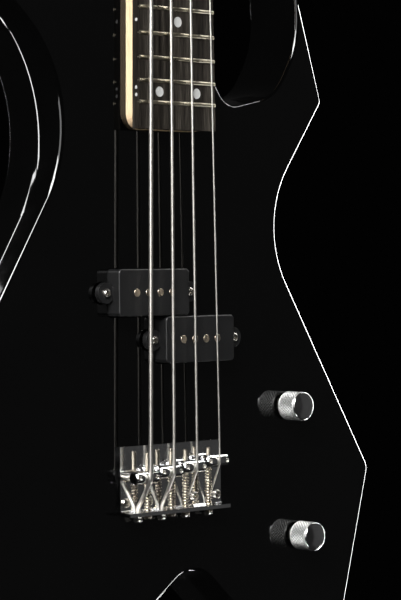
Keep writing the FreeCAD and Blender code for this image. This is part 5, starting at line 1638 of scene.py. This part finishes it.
@dataclass
class Studio:
    """Floor, light and camera."""

    floor_level: float = -1.085
    floor_radius: float = 0.70
    floor_sides: int = 96
    floor_colour: tuple = (0.34, 0.34, 0.335, 1.0)
    floor_roughness: float = 0.8
    ambient: float = 0.30
    backdrop: float = 0.0006
    mirrored: float = 0.015
    lens: float = 140.0
    sensor: float = 36.0
    far: float = 50.0
    camera_spot: tuple = (-0.94346, -1.03995, -0.74511)
    azimuth: float = 43.038
    pitch: float = 0.8256
    roll: float = -0.5843
    lamps: tuple = (
        Lamp("key", (-1.20, -0.68, 0.14), (-0.1, 0.0, -0.70), 0.80, 0.56, 8.5, 0.0, 90.0),
        Lamp("kick_outer", (-0.90, -1.02, 0.24), (-0.1, 0.0, -0.75), 0.75, 0.40, 6.0, 0.0, 90.0),
        Lamp("fill_left", (-1.26, -0.97, -0.50), (0.0, 0.0, -0.75), 0.85, 0.9, 9.0),
        Lamp("veil", (1.48, -0.73, -0.80), (0.0, 0.0, -0.80), 2.1, 2.2, 0.5),
        Lamp("arc_strip", (1.02, -0.202, 0.298), (0.07, 0.0, -0.64), 0.09, 0.83, 5.0),
        Lamp("low_front", (-0.10, -0.90, -1.845), (0.0, 0.0, -0.90), 0.30, 0.30, 3.0),
        Lamp("rim_treble", (1.40, 0.60, -1.20), (0.1, 0.0, -1.20), 0.75, 2.3, 66.0),
        Lamp("kick_tail", (1.08, -0.09, -1.50), (0.02, 0.0, -0.94), 0.30, 0.25, 3.5),
        Lamp("kick_left", (1.34, -0.11, -0.09), (0.06, 0.0, -0.64), 0.10, 0.50, 3.0),
        Lamp("rim_bass", (-1.41, 0.49, -1.50), (-0.1, 0.0, -1.50), 0.17, 2.8, 36.0),
        Lamp("kick_low", (-0.55, 0.37, -1.65), (-0.1, 0.0, -0.60), 0.14, 0.14, 1.6),
        Lamp("kick_waist", (-0.268, 0.147, -0.588), (-0.09, 0.01, -0.69), 0.080, 0.018, 0.0055, 0.0, 50.0),
        Lamp("kick_bass", (-0.242, 0.217, -0.545), (-0.13, 0.0, -0.73), 0.080, 0.018, 0.008, -48.0, 60.0),
        Lamp("back_fill", (0.30, 1.90, -1.00), (0.0, 0.0, -0.60), 0.8, 1.2, 18.0),
    )

    def build(self) -> None:
        """Set up the studio."""
        scene = bpy.context.scene
        scene.view_settings.view_transform = "Standard"
        self._world(scene)
        self._floor()
        for lamp in self.lamps:
            self._lamp(lamp)
        self._camera(scene)

    def _world(self, scene: bpy.types.Scene) -> None:
        """Light the room evenly, show a dark backdrop and mirror a dim room.

        Args:
            scene: The scene.
        """
        world = bpy.data.worlds.new("studio")
        world.use_nodes = True
        graph = Graph(world.node_tree)
        rays = graph.add("ShaderNodeLightPath").outputs
        seen = graph.math("MAXIMUM", rays["Is Camera Ray"], rays["Is Transmission Ray"])
        room = graph.add("ShaderNodeMapRange", {
            "Value": rays["Is Glossy Ray"], "To Min": self.ambient, "To Max": self.mirrored})
        strength = graph.add("ShaderNodeMapRange", {
            "Value": seen, "To Min": room.outputs["Result"], "To Max": self.backdrop})
        shade = world.node_tree.nodes["Background"]
        shade.inputs["Color"].default_value = (1.0, 1.0, 1.0, 1.0)
        world.node_tree.links.new(strength.outputs["Result"], shade.inputs["Strength"])
        scene.world = world

    def _floor(self) -> None:
        """Lay a plain pale floor that leaves the mirrored room dark."""
        spots = [(0.0, 0.0, self.floor_level)]
        for angle in ring_angles(self.floor_sides):
            spots.append((self.floor_radius * math.cos(angle), self.floor_radius * math.sin(angle),
                          self.floor_level))
        faces = [(0, side + 1, (side + 1) % self.floor_sides + 1) for side in range(self.floor_sides)]
        floor = new_object("floor", spots, faces)
        material = bpy.data.materials.new("pale_floor")
        material.use_nodes = True
        shader = material.node_tree.nodes["Principled BSDF"]
        shader.inputs["Base Color"].default_value = self.floor_colour
        shader.inputs["Roughness"].default_value = self.floor_roughness
        floor.visible_glossy = False
        floor.data.materials.append(material)
        floor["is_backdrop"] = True

    @staticmethod
    def _lamp(lamp: Lamp) -> None:
        """Hang one soft box.

        Args:
            lamp: The soft box.
        """
        light = bpy.data.lights.new(lamp.name, "AREA")
        light.shape = "RECTANGLE"
        light.size = lamp.width
        light.size_y = lamp.height
        light.energy = lamp.power
        light.spread = math.radians(lamp.spread)
        holder = bpy.data.objects.new(lamp.name, light)
        holder.location = lamp.spot
        way = Vector(lamp.aim) - Vector(lamp.spot)
        roll = Quaternion((0.0, 0.0, 1.0), math.radians(lamp.roll))
        holder.rotation_euler = (way.to_track_quat("-Z", "Y") @ roll).to_euler()
        holder.visible_camera = False
        bpy.context.scene.collection.objects.link(holder)

    def _camera(self, scene: bpy.types.Scene) -> None:
        """Stand the camera where the photograph was taken.

        Args:
            scene: The scene.
        """
        data = bpy.data.cameras.new("camera")
        data.lens = self.lens
        data.sensor_width = self.sensor
        data.clip_end = self.far
        camera = bpy.data.objects.new("camera", data)
        turn, dip, roll = (math.radians(value) for value in (self.azimuth, self.pitch, self.roll))
        ahead = Vector((math.sin(turn) * math.cos(dip), math.cos(turn) * math.cos(dip), -math.sin(dip)))
        level = Vector((math.cos(turn), -math.sin(turn), 0.0))
        upright = level.cross(ahead)
        right = level * math.cos(roll) + upright * math.sin(roll)
        up = upright * math.cos(roll) - level * math.sin(roll)
        frame = Matrix((right, up, -ahead)).transposed()
        camera.matrix_world = Matrix.Translation(self.camera_spot) @ frame.to_4x4()
        scene.collection.objects.link(camera)
        scene.camera = camera


def main() -> None:
    """Build the instrument and its studio."""
    logging.basicConfig(level=logging.INFO, format="%(name)s: %(message)s")
    for item in list(bpy.data.objects):
        bpy.data.objects.remove(item)
    palette = Palette()
    stock = Stock(palette)
    heads = HeadTree()
    Studio().build()
    for assembly in (
        Hull(stock),
        Neck(stock),
        Bridge(stock, CoilTree(), heads),
        StringSet(stock, WireTree()),
        Pickups(stock, heads),
        Controls(stock),
        Hardware(stock, heads),
        Tuners(stock),
    ):
        assembly.build()


if __name__ == "__main__":
    main()
